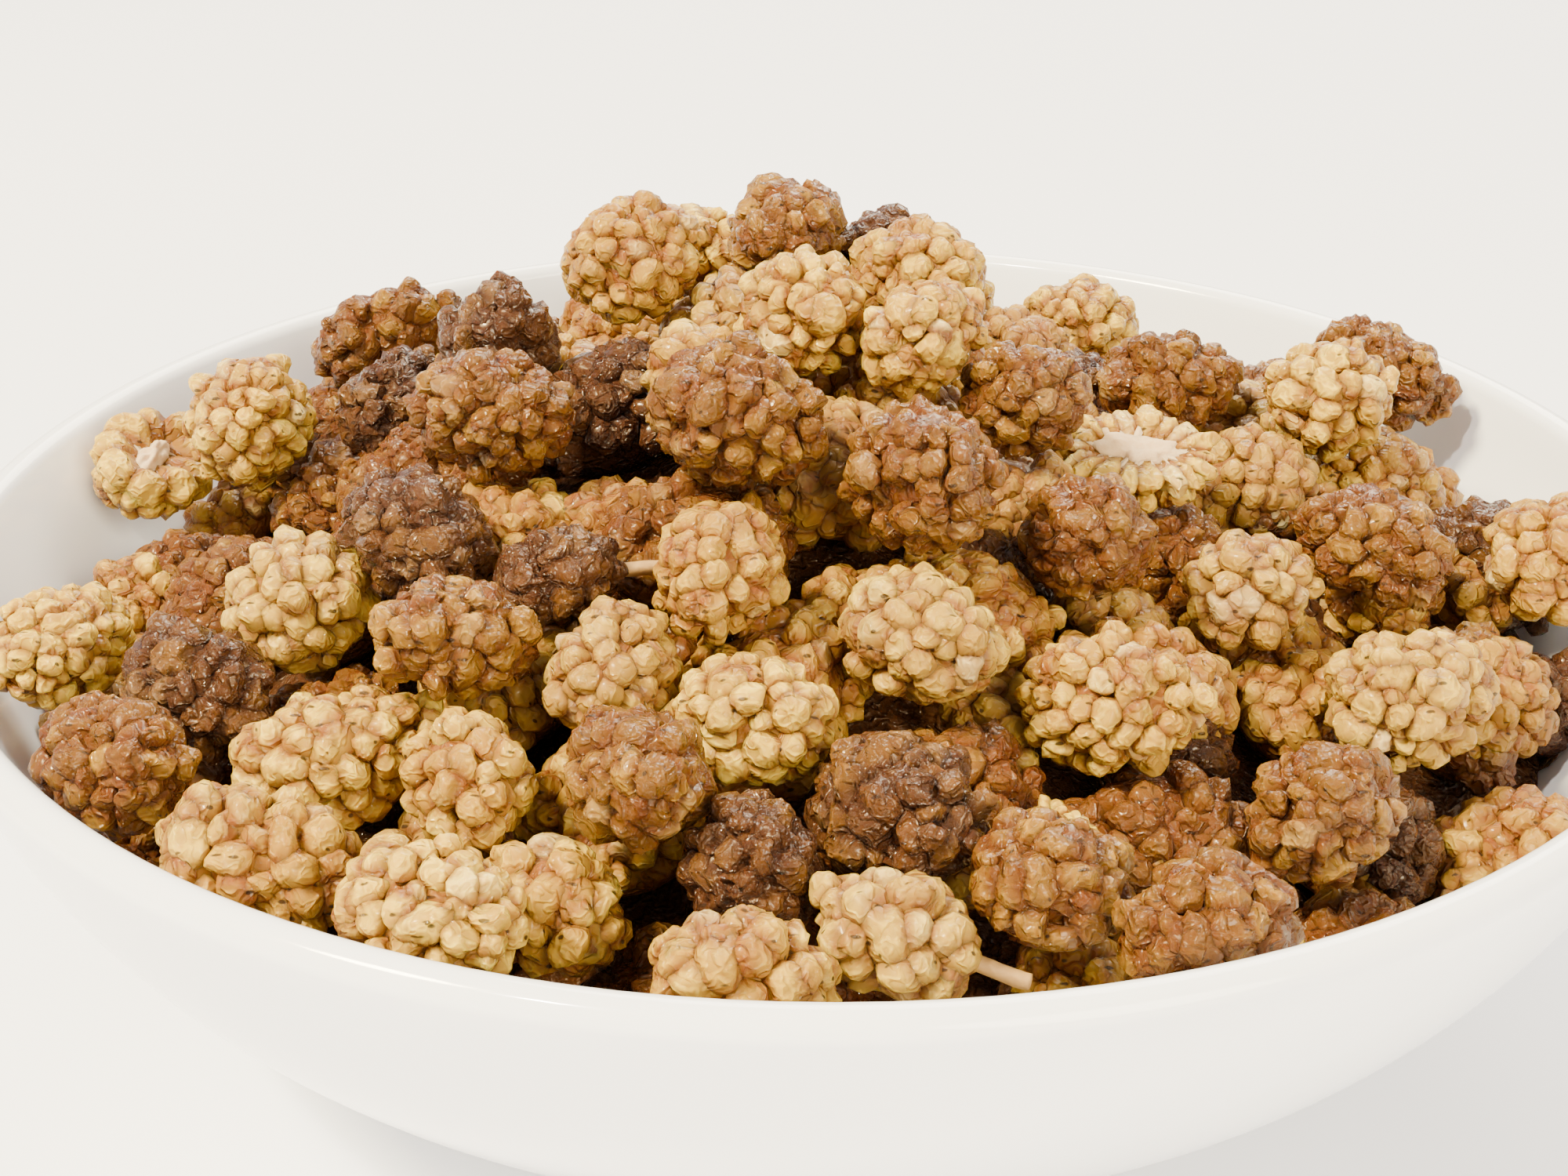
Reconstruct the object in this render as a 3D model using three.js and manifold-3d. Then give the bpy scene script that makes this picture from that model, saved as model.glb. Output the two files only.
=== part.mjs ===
// A bowl of dried white mulberries.
//
// Millimetres, +Z up. The origin is the middle of the circle that the foot ring stands on, and the front
// of the heap faces -Y. The bowl is one turned body. The heap's lower layers are pressed together into
// one bed, which follows the inside of the bowl, and the mulberries of the top layer lie loose on it,
// each one a solid of its own.

import * as THREE from 'three';
import { ConvexGeometry } from 'three/addons/geometries/ConvexGeometry.js';
import { mergeVertices } from 'three/addons/utils/BufferGeometryUtils.js';
import Module from 'manifold-3d';

const wasm = await Module();
wasm.setup();

// Driving dimensions of the bowl.
const RIM_RADIUS = 80;
const BOWL_HEIGHT = 45;
const WALL = 3.2;
const FOOT_RADIUS = 40;
const FOOT_WIDTH = 4;
const FOOT_HEIGHT = 3;
const FOOT_BEVEL = 0.5;
const FLOOR_THICKNESS = 3;

// The heap is two mounds that run into each other: the main one, a little left of the bowl's middle, and
// a low shoulder on its right. Each has its top above the rim and its slope.
const MOUNDS = [
  { x: -6, y: 1, top: 28, slope: 0.54 },
  { x: 44, y: 6, top: 12, slope: 0.45 },
];
const MOUND_ROUNDING = 4;
const TOP_LAYER = 14;
const BACK_LIFT = 7;
const BACK_FROM = 10;
const BACK_TO = 35;
const GAP = 0.3;

// Driving dimensions of a mulberry, before its own length and width are drawn or given.
const DRUPELETS = 25;
const BED_DRUPELETS = 14;
const CROWN = 1.02;
const VALLEY = 0.89;
const CROWN_SPREAD = 0.08;
const TAPER = 0.12;
const FLATNESS = 0.92;
const STEM_RADIUS = 0.7;

// How many mulberries stand out of the bed, how far apart the rule keeps the loose ones, and the least
// and most that it draws for each.
const BED_COUNT = 62;
const BED_LENGTH = [16, 19];
const BED_WIDTH = [13.5, 15];
const BED_REACH = 69;
const BED_PROUD = 1;
const BED_SEED = 11;
const WALL_REACH = 76;
const SPIRAL_COUNT = 96;
const SPIRAL_REACH = 69;
const LOOSE_SPACING = 16;
const LOOSE_LENGTH = [14, 17];
const LOOSE_WIDTH = [11, 13];
const LOOSE_RAISED = [-10, 10];
const LOOSE_SEED = 23;

const GOLDEN_ANGLE = Math.PI * (3 - Math.sqrt(5));
const UP = new THREE.Vector3(0, 0, 1);
const radians = THREE.MathUtils.degToRad;

// The top layer's mulberries that have a place of their own, from the front of the heap to its back:
// where the middle lies, which way the fruit points (0 is +X, 90 is +Y) and how far its tip is raised,
// in millimetres and degrees. A perched one comes last, and lies on others of the layer.
const PLACED = [
  { look: 'straw', x: -10, y: -70, length: 14, width: 10, heading: 10, raised: 0 },
  { look: 'cream', x: 0, y: -69, length: 13, width: 10, heading: 172, raised: 0, stem: 'short' },
  { look: 'straw', x: -27, y: -65, length: 15, width: 11, heading: -28, raised: 0 },
  { look: 'amber', x: 14, y: -65, length: 13, width: 11, heading: 20, raised: 0 },
  { look: 'straw', x: -36, y: -56, length: 17, width: 11, heading: -12, raised: 0 },
  { look: 'straw', x: -18, y: -61, length: 14, width: 11, heading: -50, raised: 10 },
  { look: 'brown', x: -1, y: -63, length: 13, width: 11, heading: -75, raised: 20 },
  { look: 'amber', x: 26, y: -62, length: 14, width: 11, heading: 25, raised: 0 },
  { look: 'amber', x: -50, y: -46, length: 16, width: 12, heading: -44, raised: 0 },
  { look: 'amber', x: -9, y: -56, length: 16, width: 11, heading: -72, raised: 15 },
  { look: 'straw', x: -22, y: -54, length: 12, width: 11, heading: -60, raised: 0 },
  { look: 'brown', x: 8, y: -55, length: 16, width: 13, heading: -65, raised: 10 },
  { look: 'straw', x: 17, y: -53, length: 8, width: 10, heading: 20, raised: 30, open: true },
  { look: 'straw', x: -33, y: -45, length: 18, width: 12, heading: 15, raised: 5 },
  { look: 'brown', x: -49, y: -33, length: 14, width: 12, heading: -30, raised: 5 },
  { look: 'straw', x: 18, y: -41, length: 15, width: 12, heading: -10, raised: 0 },
  { look: 'straw', x: -1, y: -47, length: 14, width: 11, heading: -15, raised: 0 },
  { look: 'cream', x: -13, y: -45, length: 13, width: 11, heading: 70, raised: 15 },
  { look: 'amber', x: -28, y: -39, length: 14, width: 10, heading: 10, raised: 0 },
  { look: 'straw', x: -62, y: -22, length: 15, width: 11, heading: 70, raised: 0 },
  { look: 'cream', x: 6, y: -37, length: 14, width: 12, heading: -45, raised: 0 },
  { look: 'cream', x: -45, y: -23, length: 14, width: 13, heading: 60, raised: 0 },
  { look: 'amber', x: 34, y: -40, length: 14, width: 12, heading: 40, raised: 0 },
  { look: 'brown', x: -23, y: -32, length: 11, width: 9, heading: 195, raised: 0, stem: 'short' },
  { look: 'straw', x: -11, y: -33, length: 14, width: 11, heading: 65, raised: 10 },
  { look: 'brown', x: -33, y: -23, length: 15, width: 12, heading: -50, raised: 0 },
  { look: 'amber', x: 18, y: -25, length: 13, width: 11, heading: 30, raised: 0 },
  { look: 'amber', x: 8, y: -22, length: 16, width: 13, heading: -60, raised: 15 },
  { look: 'straw', x: -61, y: -5, length: 12, width: 11, heading: 80, raised: 40, open: true },
  { look: 'amber', x: -28, y: -12, length: 15, width: 12, heading: -15, raised: 0 },
  { look: 'amber', x: -7, y: -21, length: 16, width: 13, heading: -30, raised: 0 },
  { look: 'cream', x: 37, y: -14, length: 12, width: 11, heading: 0, raised: 20 },
  { look: 'amber', x: 50, y: -10, length: 15, width: 11, heading: -20, raised: 0 },
  { look: 'straw', x: 29, y: -6, length: 15, width: 12, heading: -5, raised: 0, open: true },
  { look: 'straw', x: -3, y: -6, length: 14, width: 12, heading: -60, raised: 10 },
  { look: 'straw', x: 9, y: -7, length: 13, width: 11, heading: 50, raised: 0 },
  { look: 'amber', x: 18, y: -10, length: 12, width: 11, heading: 0, raised: 0 },
  { look: 'brown', x: -25, y: 1, length: 18, width: 12, heading: -80, raised: 50 },
  { look: 'straw', x: -51, y: 12, length: 15, width: 14, heading: -70, raised: 20 },
  { look: 'straw', x: -14, y: -5, length: 12, width: 10, heading: 0, raised: 0 },
  { look: 'straw', x: -66, y: 13, length: 15, width: 12, heading: 80, raised: 0 },
  { look: 'brown', x: -38, y: 9, length: 14, width: 11, heading: 60, raised: 20 },
  { look: 'straw', x: 50, y: 13, length: 14, width: 13, heading: 70, raised: 10 },
  { look: 'amber', x: -6, y: 12, length: 14, width: 12, heading: -110, raised: -20, stem: 'curled' },
  { look: 'straw', x: 9, y: 6, length: 15, width: 13, heading: -70, raised: 10, perched: true },
  { look: 'straw', x: -17, y: 8, length: 14, width: 12, heading: 20, raised: 0, perched: true },
];

const LOOKS = {
  straw: { colour: '#cfa76a', roughness: 0.5 },
  cream: { colour: '#e2c48e', roughness: 0.5 },
  amber: { colour: '#b4743a', roughness: 0.35 },
  brown: { colour: '#7a4e2c', roughness: 0.4 },
};
const RULED_LOOKS = ['straw', 'amber', 'straw', 'cream', 'brown', 'straw', 'amber'];

// Seeded draws between 0 and 1.
function seeded(seed) {
  let state = seed;
  return () => {
    state = (Math.imul(state, 1664525) + 1013904223) >>> 0;
    return state / 2 ** 32;
  };
}

function drawn([least, most], random) {
  return THREE.MathUtils.lerp(least, most, random());
}

// Corners closer than this are one.
const SAME_PLACE = 1e-3;

// A closed geometry with shared corners and no triangle that has shrunk to a line.
function closed(geometry) {
  const bare = geometry.clone();
  for (const name of Object.keys(bare.attributes)) {
    if (name !== 'position') bare.deleteAttribute(name);
  }
  const merged = mergeVertices(bare, SAME_PLACE);
  const index = merged.getIndex().array;
  const kept = [];
  for (let i = 0; i < index.length; i += 3) {
    const [a, b, c] = [index[i], index[i + 1], index[i + 2]];
    if (a !== b && b !== c && c !== a) kept.push(a, b, c);
  }
  merged.setIndex(kept);
  return merged;
}

function toSolid(geometry) {
  const merged = closed(geometry);
  const vertProperties = new Float32Array(merged.getAttribute('position').array);
  const triVerts = new Uint32Array(merged.getIndex().array);
  return new wasm.Manifold(new wasm.Mesh({ numProp: 3, vertProperties, triVerts }));
}

function toGeometry(solid) {
  const mesh = solid.getMesh();
  const geometry = new THREE.BufferGeometry();
  geometry.setAttribute('position', new THREE.BufferAttribute(mesh.vertProperties, 3));
  geometry.setIndex(new THREE.BufferAttribute(mesh.triVerts, 1));
  return geometry;
}

function fuse(geometries) {
  return toGeometry(geometries.map(toSolid).reduce((whole, next) => whole.add(next)));
}

// The bowl's wall is part of an ellipse, turned about Z. depth 0 is its outside, and WALL its inside.
const WALL_START = radians(15);
const WALL_END = radians(75);
const WALL_STEPS = 4;
const RIM_TURNS = [45, 90, 135];
const TURN_STEPS = 44;

function wallPoint(angle, depth) {
  const span = Math.sin(WALL_END) - Math.sin(WALL_START);
  const rimLevel = BOWL_HEIGHT - WALL / 2;
  const wide = (RIM_RADIUS - FOOT_RADIUS) / span;
  const high = (rimLevel - FOOT_HEIGHT) / (Math.cos(WALL_START) - Math.cos(WALL_END));
  const point = new THREE.Vector2(
    FOOT_RADIUS + wide * (Math.sin(angle) - Math.sin(WALL_START)),
    FOOT_HEIGHT + high * (Math.cos(WALL_START) - Math.cos(angle)),
  );
  const outward = new THREE.Vector2(high * Math.sin(angle), -wide * Math.cos(angle)).normalize();
  return point.addScaledVector(outward, -depth);
}

function wallCurve(depth) {
  const points = [];
  for (let step = 0; step <= WALL_STEPS; step += 1) {
    points.push(wallPoint(THREE.MathUtils.lerp(WALL_START, WALL_END, step / WALL_STEPS), depth));
  }
  return points;
}

// Turns a profile of radius and height about Z. The profile starts and ends on the axis, and runs from
// the underside out and up.
function turned(profile, steps = TURN_STEPS) {
  const lathe = new THREE.LatheGeometry(profile, steps);
  lathe.rotateX(Math.PI / 2);
  return closed(lathe);
}

// The rounded top edge, from the wall's outside over to its inside.
function rimCurve() {
  const middle = wallPoint(WALL_END, WALL / 2);
  const outward = wallPoint(WALL_END, 0).sub(middle);
  const onward = new THREE.Vector2(-outward.y, outward.x);
  return RIM_TURNS.map((turn) => middle.clone()
    .addScaledVector(outward, Math.cos(radians(turn)))
    .addScaledVector(onward, Math.sin(radians(turn))));
}

function bowlGeometry() {
  const floorUnder = wallPoint(WALL_START, WALL).y - FLOOR_THICKNESS;
  const foot = [
    new THREE.Vector2(0, floorUnder),
    new THREE.Vector2(FOOT_RADIUS - FOOT_WIDTH - 2 * FOOT_BEVEL, floorUnder),
    new THREE.Vector2(FOOT_RADIUS - FOOT_WIDTH, 0),
    new THREE.Vector2(FOOT_RADIUS - FOOT_BEVEL, 0),
  ];
  const inside = wallCurve(WALL).reverse();
  const floor = new THREE.Vector2(0, inside[inside.length - 1].y);
  return turned([...foot, ...wallCurve(0), ...rimCurve(), ...inside, floor]);
}

// Height of the bed's core at a place in the bowl. At the back, where fewer mulberries lie loose, it is
// higher.
function coreHeight(x, y) {
  const mounds = MOUNDS.map((mound) => {
    const away = Math.hypot(x - mound.x, y - mound.y, MOUND_ROUNDING) - MOUND_ROUNDING;
    return mound.top - mound.slope * away;
  });
  const back = BACK_LIFT * THREE.MathUtils.smoothstep(y, BACK_FROM, BACK_TO);
  return BOWL_HEIGHT + Math.max(...mounds) - TOP_LAYER + back;
}

// The heap's outward direction there.
function heapNormal(x, y) {
  const step = 0.5;
  const slopeX = (coreHeight(x + step, y) - coreHeight(x - step, y)) / (2 * step);
  const slopeY = (coreHeight(x, y + step) - coreHeight(x, y - step)) / (2 * step);
  return new THREE.Vector3(-slopeX, -slopeY, 1).normalize();
}

// Even places across the bowl, from its middle outwards.
function spiral(count, reach) {
  const places = [];
  for (let i = 0; i < count; i += 1) {
    const radius = reach * Math.sqrt((i + 0.5) / count);
    places.push({
      x: radius * Math.cos(i * GOLDEN_ANGLE),
      y: radius * Math.sin(i * GOLDEN_ANGLE),
    });
  }
  return places;
}

// A mulberry is a cluster of drupelets about an axis along X. Each drupelet has a crown, and the surface
// drops to a valley point wherever three of them meet.
const UNEVENNESS = 0.5;

function drupeletDirections(count, random) {
  const spread = UNEVENNESS / Math.sqrt(count);
  const directions = [];
  for (let i = 0; i < count; i += 1) {
    const along = 1 - (2 * i + 1) / count;
    const ring = Math.sqrt(1 - along * along);
    const around = i * GOLDEN_ANGLE;
    const direction = new THREE.Vector3(along, ring * Math.cos(around), ring * Math.sin(around));
    direction.x += spread * (random() - 0.5);
    direction.y += spread * (random() - 0.5);
    direction.z += spread * (random() - 0.5);
    directions.push(direction.normalize());
  }
  return directions;
}

function mulberryGeometry({ length, width, count, random }) {
  const hull = closed(new ConvexGeometry(drupeletDirections(count, random)));
  const corners = hull.getAttribute('position');
  const faces = hull.getIndex().array;
  const placed = (direction, height) => {
    const slim = height * (width / 2) * (1 - TAPER * direction.x);
    return [direction.x * height * (length / 2), direction.y * slim, direction.z * slim * FLATNESS];
  };
  const points = [];
  for (let i = 0; i < corners.count; i += 1) {
    const crown = new THREE.Vector3().fromBufferAttribute(corners, i);
    points.push(...placed(crown, CROWN + CROWN_SPREAD * (random() - 0.5)));
  }
  const faceOfEdge = new Map();
  for (let face = 0; face < faces.length / 3; face += 1) {
    const [a, b, c] = faces.slice(3 * face, 3 * face + 3);
    const [pa, pb, pc] = [a, b, c].map((i) => new THREE.Vector3().fromBufferAttribute(corners, i));
    points.push(...placed(pb.sub(pa).cross(pc.sub(pa)).normalize(), VALLEY));
    faceOfEdge.set(`${a} ${b}`, face).set(`${b} ${c}`, face).set(`${c} ${a}`, face);
  }
  const triangles = [];
  for (const [edge, face] of faceOfEdge) {
    const [from, to] = edge.split(' ').map(Number);
    const across = faceOfEdge.get(`${to} ${from}`);
    triangles.push(from, corners.count + across, corners.count + face);
  }
  const geometry = new THREE.BufferGeometry();
  geometry.setAttribute('position', new THREE.Float32BufferAttribute(points, 3));
  geometry.setIndex(triangles);
  return geometry;
}

// A split mulberry lies with its cut side up: the lower half of a whole one, a ring of long drupelets
// that fan out round the cut, and the bare end of the fruit's middle. Their half sizes are shares of the
// fruit's length and width.
const PETALS = 8;
const PETAL = { length: 0.22, width: 0.17, height: 0.16, out: 0.28, lift: 0.06 };
const MIDDLE = { length: 0.16, width: 0.14, height: 0.2 };

function splitGeometry({ length, width, count, random }) {
  const whole = toSolid(mulberryGeometry({ length, width, count, random }));
  const half = new THREE.BoxGeometry(2 * length, 2 * width, width);
  half.translate(0, 0, -width / 2);
  const fan = [];
  for (let i = 0; i < PETALS; i += 1) {
    const petal = new THREE.OctahedronGeometry(1, 0);
    petal.scale(PETAL.length * length, PETAL.width * width, PETAL.height * width);
    petal.translate(PETAL.out * length, 0, PETAL.lift * width);
    petal.rotateZ((2 * Math.PI * i) / PETALS);
    petal.scale(1, width / length, 1);
    fan.push(toSolid(petal));
  }
  const middle = new THREE.OctahedronGeometry(1, 0);
  middle.scale(MIDDLE.length * length, MIDDLE.width * width, MIDDLE.height * width);
  const lower = whole.intersect(toSolid(half));
  return toGeometry([...fan, toSolid(middle)].reduce((sum, next) => sum.add(next), lower));
}

// A stem leaves the fruit's blunt end, at -X, from a root sunk in the fruit: cut short, or long and
// curled over.
const STEM_ROOT = 0.4;
const STEM_CURVES = 3;
const STEMS = {
  short: [[0, 0, 0], [-2, 0.1, 0.1], [-4.5, 0.4, 0.3]],
  curled: [[0, 0, 0], [-2.5, 0.5, 0], [-5, 2, 1], [-6, 5, 1.5], [-4.5, 8, 1], [-2, 9.5, 0]],
};

function stemGeometry(kind, length) {
  const route = STEMS[kind].map(([x, y, z]) => new THREE.Vector3(x - STEM_ROOT * length, y, z));
  const section = new THREE.Shape();
  section.absarc(0, 0, STEM_RADIUS, 0, 2 * Math.PI);
  return new THREE.ExtrudeGeometry(section, {
    extrudePath: new THREE.CatmullRomCurve3(route),
    steps: 2 * (route.length - 1),
    curveSegments: STEM_CURVES,
    bevelEnabled: false,
  });
}

function fruitGeometry(fruit) {
  const body = (fruit.open ? splitGeometry : mulberryGeometry)(fruit);
  return fruit.stem ? fuse([body, stemGeometry(fruit.stem, fruit.length)]) : body;
}

// The core's rings reach past the bowl's wall, which then trims them.
const CORE_REACH = 88;
const CORE_RINGS = 5;
const CORE_STEPS = 20;

function coreGeometry() {
  const profile = [new THREE.Vector2(0, 0), new THREE.Vector2(CORE_REACH, 0)];
  for (let ring = CORE_RINGS; ring >= 0; ring -= 1) {
    profile.push(new THREE.Vector2((CORE_REACH * ring) / CORE_RINGS, BOWL_HEIGHT));
  }
  const core = turned(profile, CORE_STEPS);
  const corners = core.getAttribute('position');
  for (let i = 0; i < corners.count; i += 1) {
    if (corners.getZ(i) > 0) corners.setZ(i, coreHeight(corners.getX(i), corners.getY(i)));
  }
  return core;
}

function bedFruits() {
  const random = seeded(BED_SEED);
  return spiral(BED_COUNT, BED_REACH).map(({ x, y }) => ({
    x,
    y,
    z: coreHeight(x, y) + BED_PROUD,
    length: drawn(BED_LENGTH, random),
    width: drawn(BED_WIDTH, random),
    heading: 360 * random(),
  }));
}

// The bed: the pressed lower layers, with the mulberries that stand half out of them, inside the bowl.
function bedGeometry() {
  const random = seeded(BED_SEED + 1);
  const core = coreGeometry();
  const fruits = bedFruits().map(({ x, y, z, length, width, heading }) => {
    const fruit = mulberryGeometry({ length, width, count: BED_DRUPELETS, random });
    const lean = new THREE.Quaternion().setFromUnitVectors(UP, heapNormal(x, y));
    return fruit.rotateZ(radians(heading)).applyQuaternion(lean).translate(x, y, z);
  });
  const inner = wallCurve(WALL + GAP);
  const inside = turned([
    new THREE.Vector2(0, inner[0].y),
    ...inner,
    new THREE.Vector2(inner[WALL_STEPS].x, 2 * BOWL_HEIGHT),
    new THREE.Vector2(0, 2 * BOWL_HEIGHT),
  ]);
  return toGeometry(toSolid(fuse([core, ...fruits])).intersect(toSolid(inside)));
}

// Loose mulberries: those with a place of their own, and more by rule wherever the heap still has room.
function looseFruits() {
  const random = seeded(LOOSE_SEED);
  const fruits = PLACED.map((fruit) => ({ ...fruit, rolled: 360 * random() }));
  for (const { x, y } of spiral(SPIRAL_COUNT, SPIRAL_REACH)) {
    if (fruits.some((other) => Math.hypot(other.x - x, other.y - y) < LOOSE_SPACING)) continue;
    fruits.push({
      look: RULED_LOOKS[fruits.length % RULED_LOOKS.length],
      x,
      y,
      length: drawn(LOOSE_LENGTH, random),
      width: drawn(LOOSE_WIDTH, random),
      heading: 360 * random(),
      raised: drawn(LOOSE_RAISED, random),
      rolled: 360 * random(),
    });
  }
  return fruits;
}

// Three balls along a fruit's axis stand for it while it looks for the spot where it lies lowest. Their
// radii are shares of its width.
const END_BALL = 0.4;
const MIDDLE_BALL = 0.46;

function ballChain(fruit, raised) {
  const reach = fruit.length / 2 - END_BALL * fruit.width;
  const turn = radians(fruit.heading);
  const rise = radians(raised);
  return [-1, 0, 1].map((end) => ({
    x: end * reach * Math.cos(rise) * Math.cos(turn),
    y: end * reach * Math.cos(rise) * Math.sin(turn),
    z: end * reach * Math.sin(rise),
    radius: fruit.width * (end === 0 ? MIDDLE_BALL : END_BALL),
  }));
}

function restHeight(chain, x, y, balls) {
  let height = 0;
  for (const ball of chain) {
    const [ballX, ballY] = [x + ball.x, y + ball.y];
    height = Math.max(height, coreHeight(ballX, ballY) + ball.radius - ball.z);
    for (const other of balls) {
      const touch = ball.radius + other.radius;
      const apart = Math.hypot(ballX - other.x, ballY - other.y);
      if (apart >= touch) continue;
      height = Math.max(height, other.z + Math.sqrt(touch * touch - apart * apart) - ball.z);
    }
  }
  return height;
}

// The search goes a little way round the planned place, and gives up some height for each millimetre and
// degree that it stays nearer to the plan. A perched mulberry keeps its place.
const SEARCH_REACH = 4.5;
const SEARCH_STEP = 1.5;
const SEARCH_TILTS = [-20, -10, 0, 10, 20];
const AWAY_COST = 0.45;
const TILT_COST = 0.03;

function lowestSpot(fruit, balls) {
  let best = { score: Infinity };
  const reach = fruit.perched ? 0 : SEARCH_REACH;
  for (const tilt of SEARCH_TILTS) {
    const raised = fruit.raised + tilt;
    const chain = ballChain(fruit, raised);
    for (let dx = -reach; dx <= reach; dx += SEARCH_STEP) {
      for (let dy = -reach; dy <= reach; dy += SEARCH_STEP) {
        const [x, y] = [fruit.x + dx, fruit.y + dy];
        if (Math.hypot(x, y) > WALL_REACH - fruit.width / 2) continue;
        const z = restHeight(chain, x, y, balls);
        const score = z + AWAY_COST * Math.hypot(dx, dy) + TILT_COST * Math.abs(tilt);
        if (score < best.score) best = { score, x, y, z, raised, chain };
      }
    }
  }
  return best;
}

// Lowers a solid from above until it would touch, and leaves it just clear.
const DROP_START = 5;
const DROP_STEP = 0.5;
const DROP_CLEARANCE = 0.12;

function touches(geometry, lift, others) {
  const raised = geometry.clone().translate(0, 0, lift);
  raised.computeBoundingBox();
  const near = others.filter((other) => other.box.intersectsBox(raised.boundingBox));
  if (near.length === 0) return false;
  const solid = toSolid(raised);
  return near.some((other) => !solid.intersect(other.solid).isEmpty());
}

function dropped(geometry, others) {
  let clear = DROP_START;
  while (touches(geometry, clear, others)) clear += DROP_STEP;
  while (!touches(geometry, clear - DROP_STEP, others)) clear -= DROP_STEP;
  let blocked = clear - DROP_STEP;
  while (clear - blocked > DROP_CLEARANCE / 2) {
    const middle = (clear + blocked) / 2;
    if (touches(geometry, middle, others)) blocked = middle;
    else clear = middle;
  }
  return clear + DROP_CLEARANCE;
}

function obstacle(geometry) {
  const solid = toSolid(geometry);
  geometry.computeBoundingBox();
  return { solid, box: geometry.boundingBox };
}

function finish(look) {
  const { colour, roughness } = LOOKS[look];
  return new THREE.MeshStandardMaterial({ color: colour, roughness, metalness: 0 });
}

function addMesh(parent, name, geometry, material) {
  const mesh = new THREE.Mesh(geometry, material);
  mesh.name = name;
  parent.add(mesh);
  return mesh;
}

function ballsAt(chain, { x, y, z }) {
  return chain.map((ball) => ({ x: x + ball.x, y: y + ball.y, z: z + ball.z, radius: ball.radius }));
}

function buildHeap(group, bowl) {
  const bed = bedGeometry();
  addMesh(group, 'mulberry_bed', bed, finish('amber'));
  const others = [obstacle(bowl), obstacle(bed)];
  const balls = bedFruits().flatMap((fruit) => ballsAt(ballChain(fruit, 0), fruit));
  const turnOf = (fruit) => coreHeight(fruit.x, fruit.y) + (fruit.perched ? BOWL_HEIGHT : 0);
  const fruits = looseFruits().sort((one, other) => turnOf(one) - turnOf(other));
  fruits.forEach((fruit, i) => {
    const random = seeded(LOOSE_SEED + 7 * i);
    const geometry = fruitGeometry({ ...fruit, count: DRUPELETS, random });
    const spot = lowestSpot(fruit, balls);
    const name = `${fruit.look}_mulberry_${String(i + 1).padStart(2, '0')}`;
    const mesh = addMesh(group, name, geometry, finish(fruit.look));
    const roll = fruit.open ? 0 : radians(fruit.rolled);
    mesh.rotation.set(roll, -radians(spot.raised), radians(fruit.heading), 'ZYX');
    mesh.position.set(spot.x, spot.y, spot.z);
    mesh.updateMatrix();
    mesh.position.z += dropped(geometry.clone().applyMatrix4(mesh.matrix), others);
    mesh.updateMatrix();
    others.push(obstacle(geometry.clone().applyMatrix4(mesh.matrix)));
    balls.push(...ballsAt(spot.chain, mesh.position));
  });
}

const bowlOfMulberries = new THREE.Group();
const bowl = bowlGeometry();
const glaze = new THREE.MeshStandardMaterial({ color: '#f4f3ef', roughness: 0.12, metalness: 0 });
addMesh(bowlOfMulberries, 'bowl', bowl, glaze);
buildHeap(bowlOfMulberries, bowl);

export default bowlOfMulberries;
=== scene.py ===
"""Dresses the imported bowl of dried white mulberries.

Metres, +Z up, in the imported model's frame: the origin is the middle of the circle that the foot ring
stands on, and the front of the heap faces -Y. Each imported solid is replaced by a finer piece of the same
form: the bowl by a smooth glazed one, the bed by pressed mulberries, and each loose mulberry by one with
rounded drupelets, read from the place, turn and size of its own solid.
"""

import functools
import itertools
import math

import bmesh
import bpy
import numpy as np
from mathutils import Matrix, Vector
from mathutils.bvhtree import BVHTree


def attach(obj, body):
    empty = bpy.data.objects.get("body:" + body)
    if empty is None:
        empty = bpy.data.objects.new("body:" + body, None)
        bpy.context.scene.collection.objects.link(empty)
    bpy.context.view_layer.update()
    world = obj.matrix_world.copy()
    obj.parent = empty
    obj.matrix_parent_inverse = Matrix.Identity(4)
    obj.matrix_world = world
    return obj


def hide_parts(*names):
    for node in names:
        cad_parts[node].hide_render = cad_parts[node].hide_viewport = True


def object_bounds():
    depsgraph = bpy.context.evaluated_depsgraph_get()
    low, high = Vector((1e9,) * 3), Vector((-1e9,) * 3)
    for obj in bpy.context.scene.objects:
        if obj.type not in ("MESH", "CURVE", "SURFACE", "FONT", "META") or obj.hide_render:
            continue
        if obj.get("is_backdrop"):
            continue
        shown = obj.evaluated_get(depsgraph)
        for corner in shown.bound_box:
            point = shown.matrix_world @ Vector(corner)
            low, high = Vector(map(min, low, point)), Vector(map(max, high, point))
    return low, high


bl_info = {
    "name": "Bowl of Dried Mulberries",
    "version": (1, 0, 0),
    "blender": (4, 5, 0),
    "location": "View3D > Sidebar > Mulberries",
    "description": "Makes a glazed bowl heaped with dried white mulberries round its packed solids",
    "category": "Object",
}

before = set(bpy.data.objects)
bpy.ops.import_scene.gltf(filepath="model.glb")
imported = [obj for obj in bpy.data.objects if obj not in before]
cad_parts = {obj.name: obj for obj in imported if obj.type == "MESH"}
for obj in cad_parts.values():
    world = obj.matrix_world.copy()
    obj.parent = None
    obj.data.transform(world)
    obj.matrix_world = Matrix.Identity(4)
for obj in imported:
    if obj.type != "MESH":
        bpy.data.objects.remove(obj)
CAD_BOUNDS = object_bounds()

MM = 0.001
GOLDEN_ANGLE = math.pi * (3 - math.sqrt(5))
BODY = "root"


# Colours and sizes


def linear(hex_colour):
    """Turns an sRGB hex colour into linear red, green and blue."""
    channels = [int(hex_colour[i:i + 2], 16) / 255 for i in (1, 3, 5)]
    return tuple(c / 12.92 if c <= 0.04045 else ((c + 0.055) / 1.055) ** 2.4 for c in channels)


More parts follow.
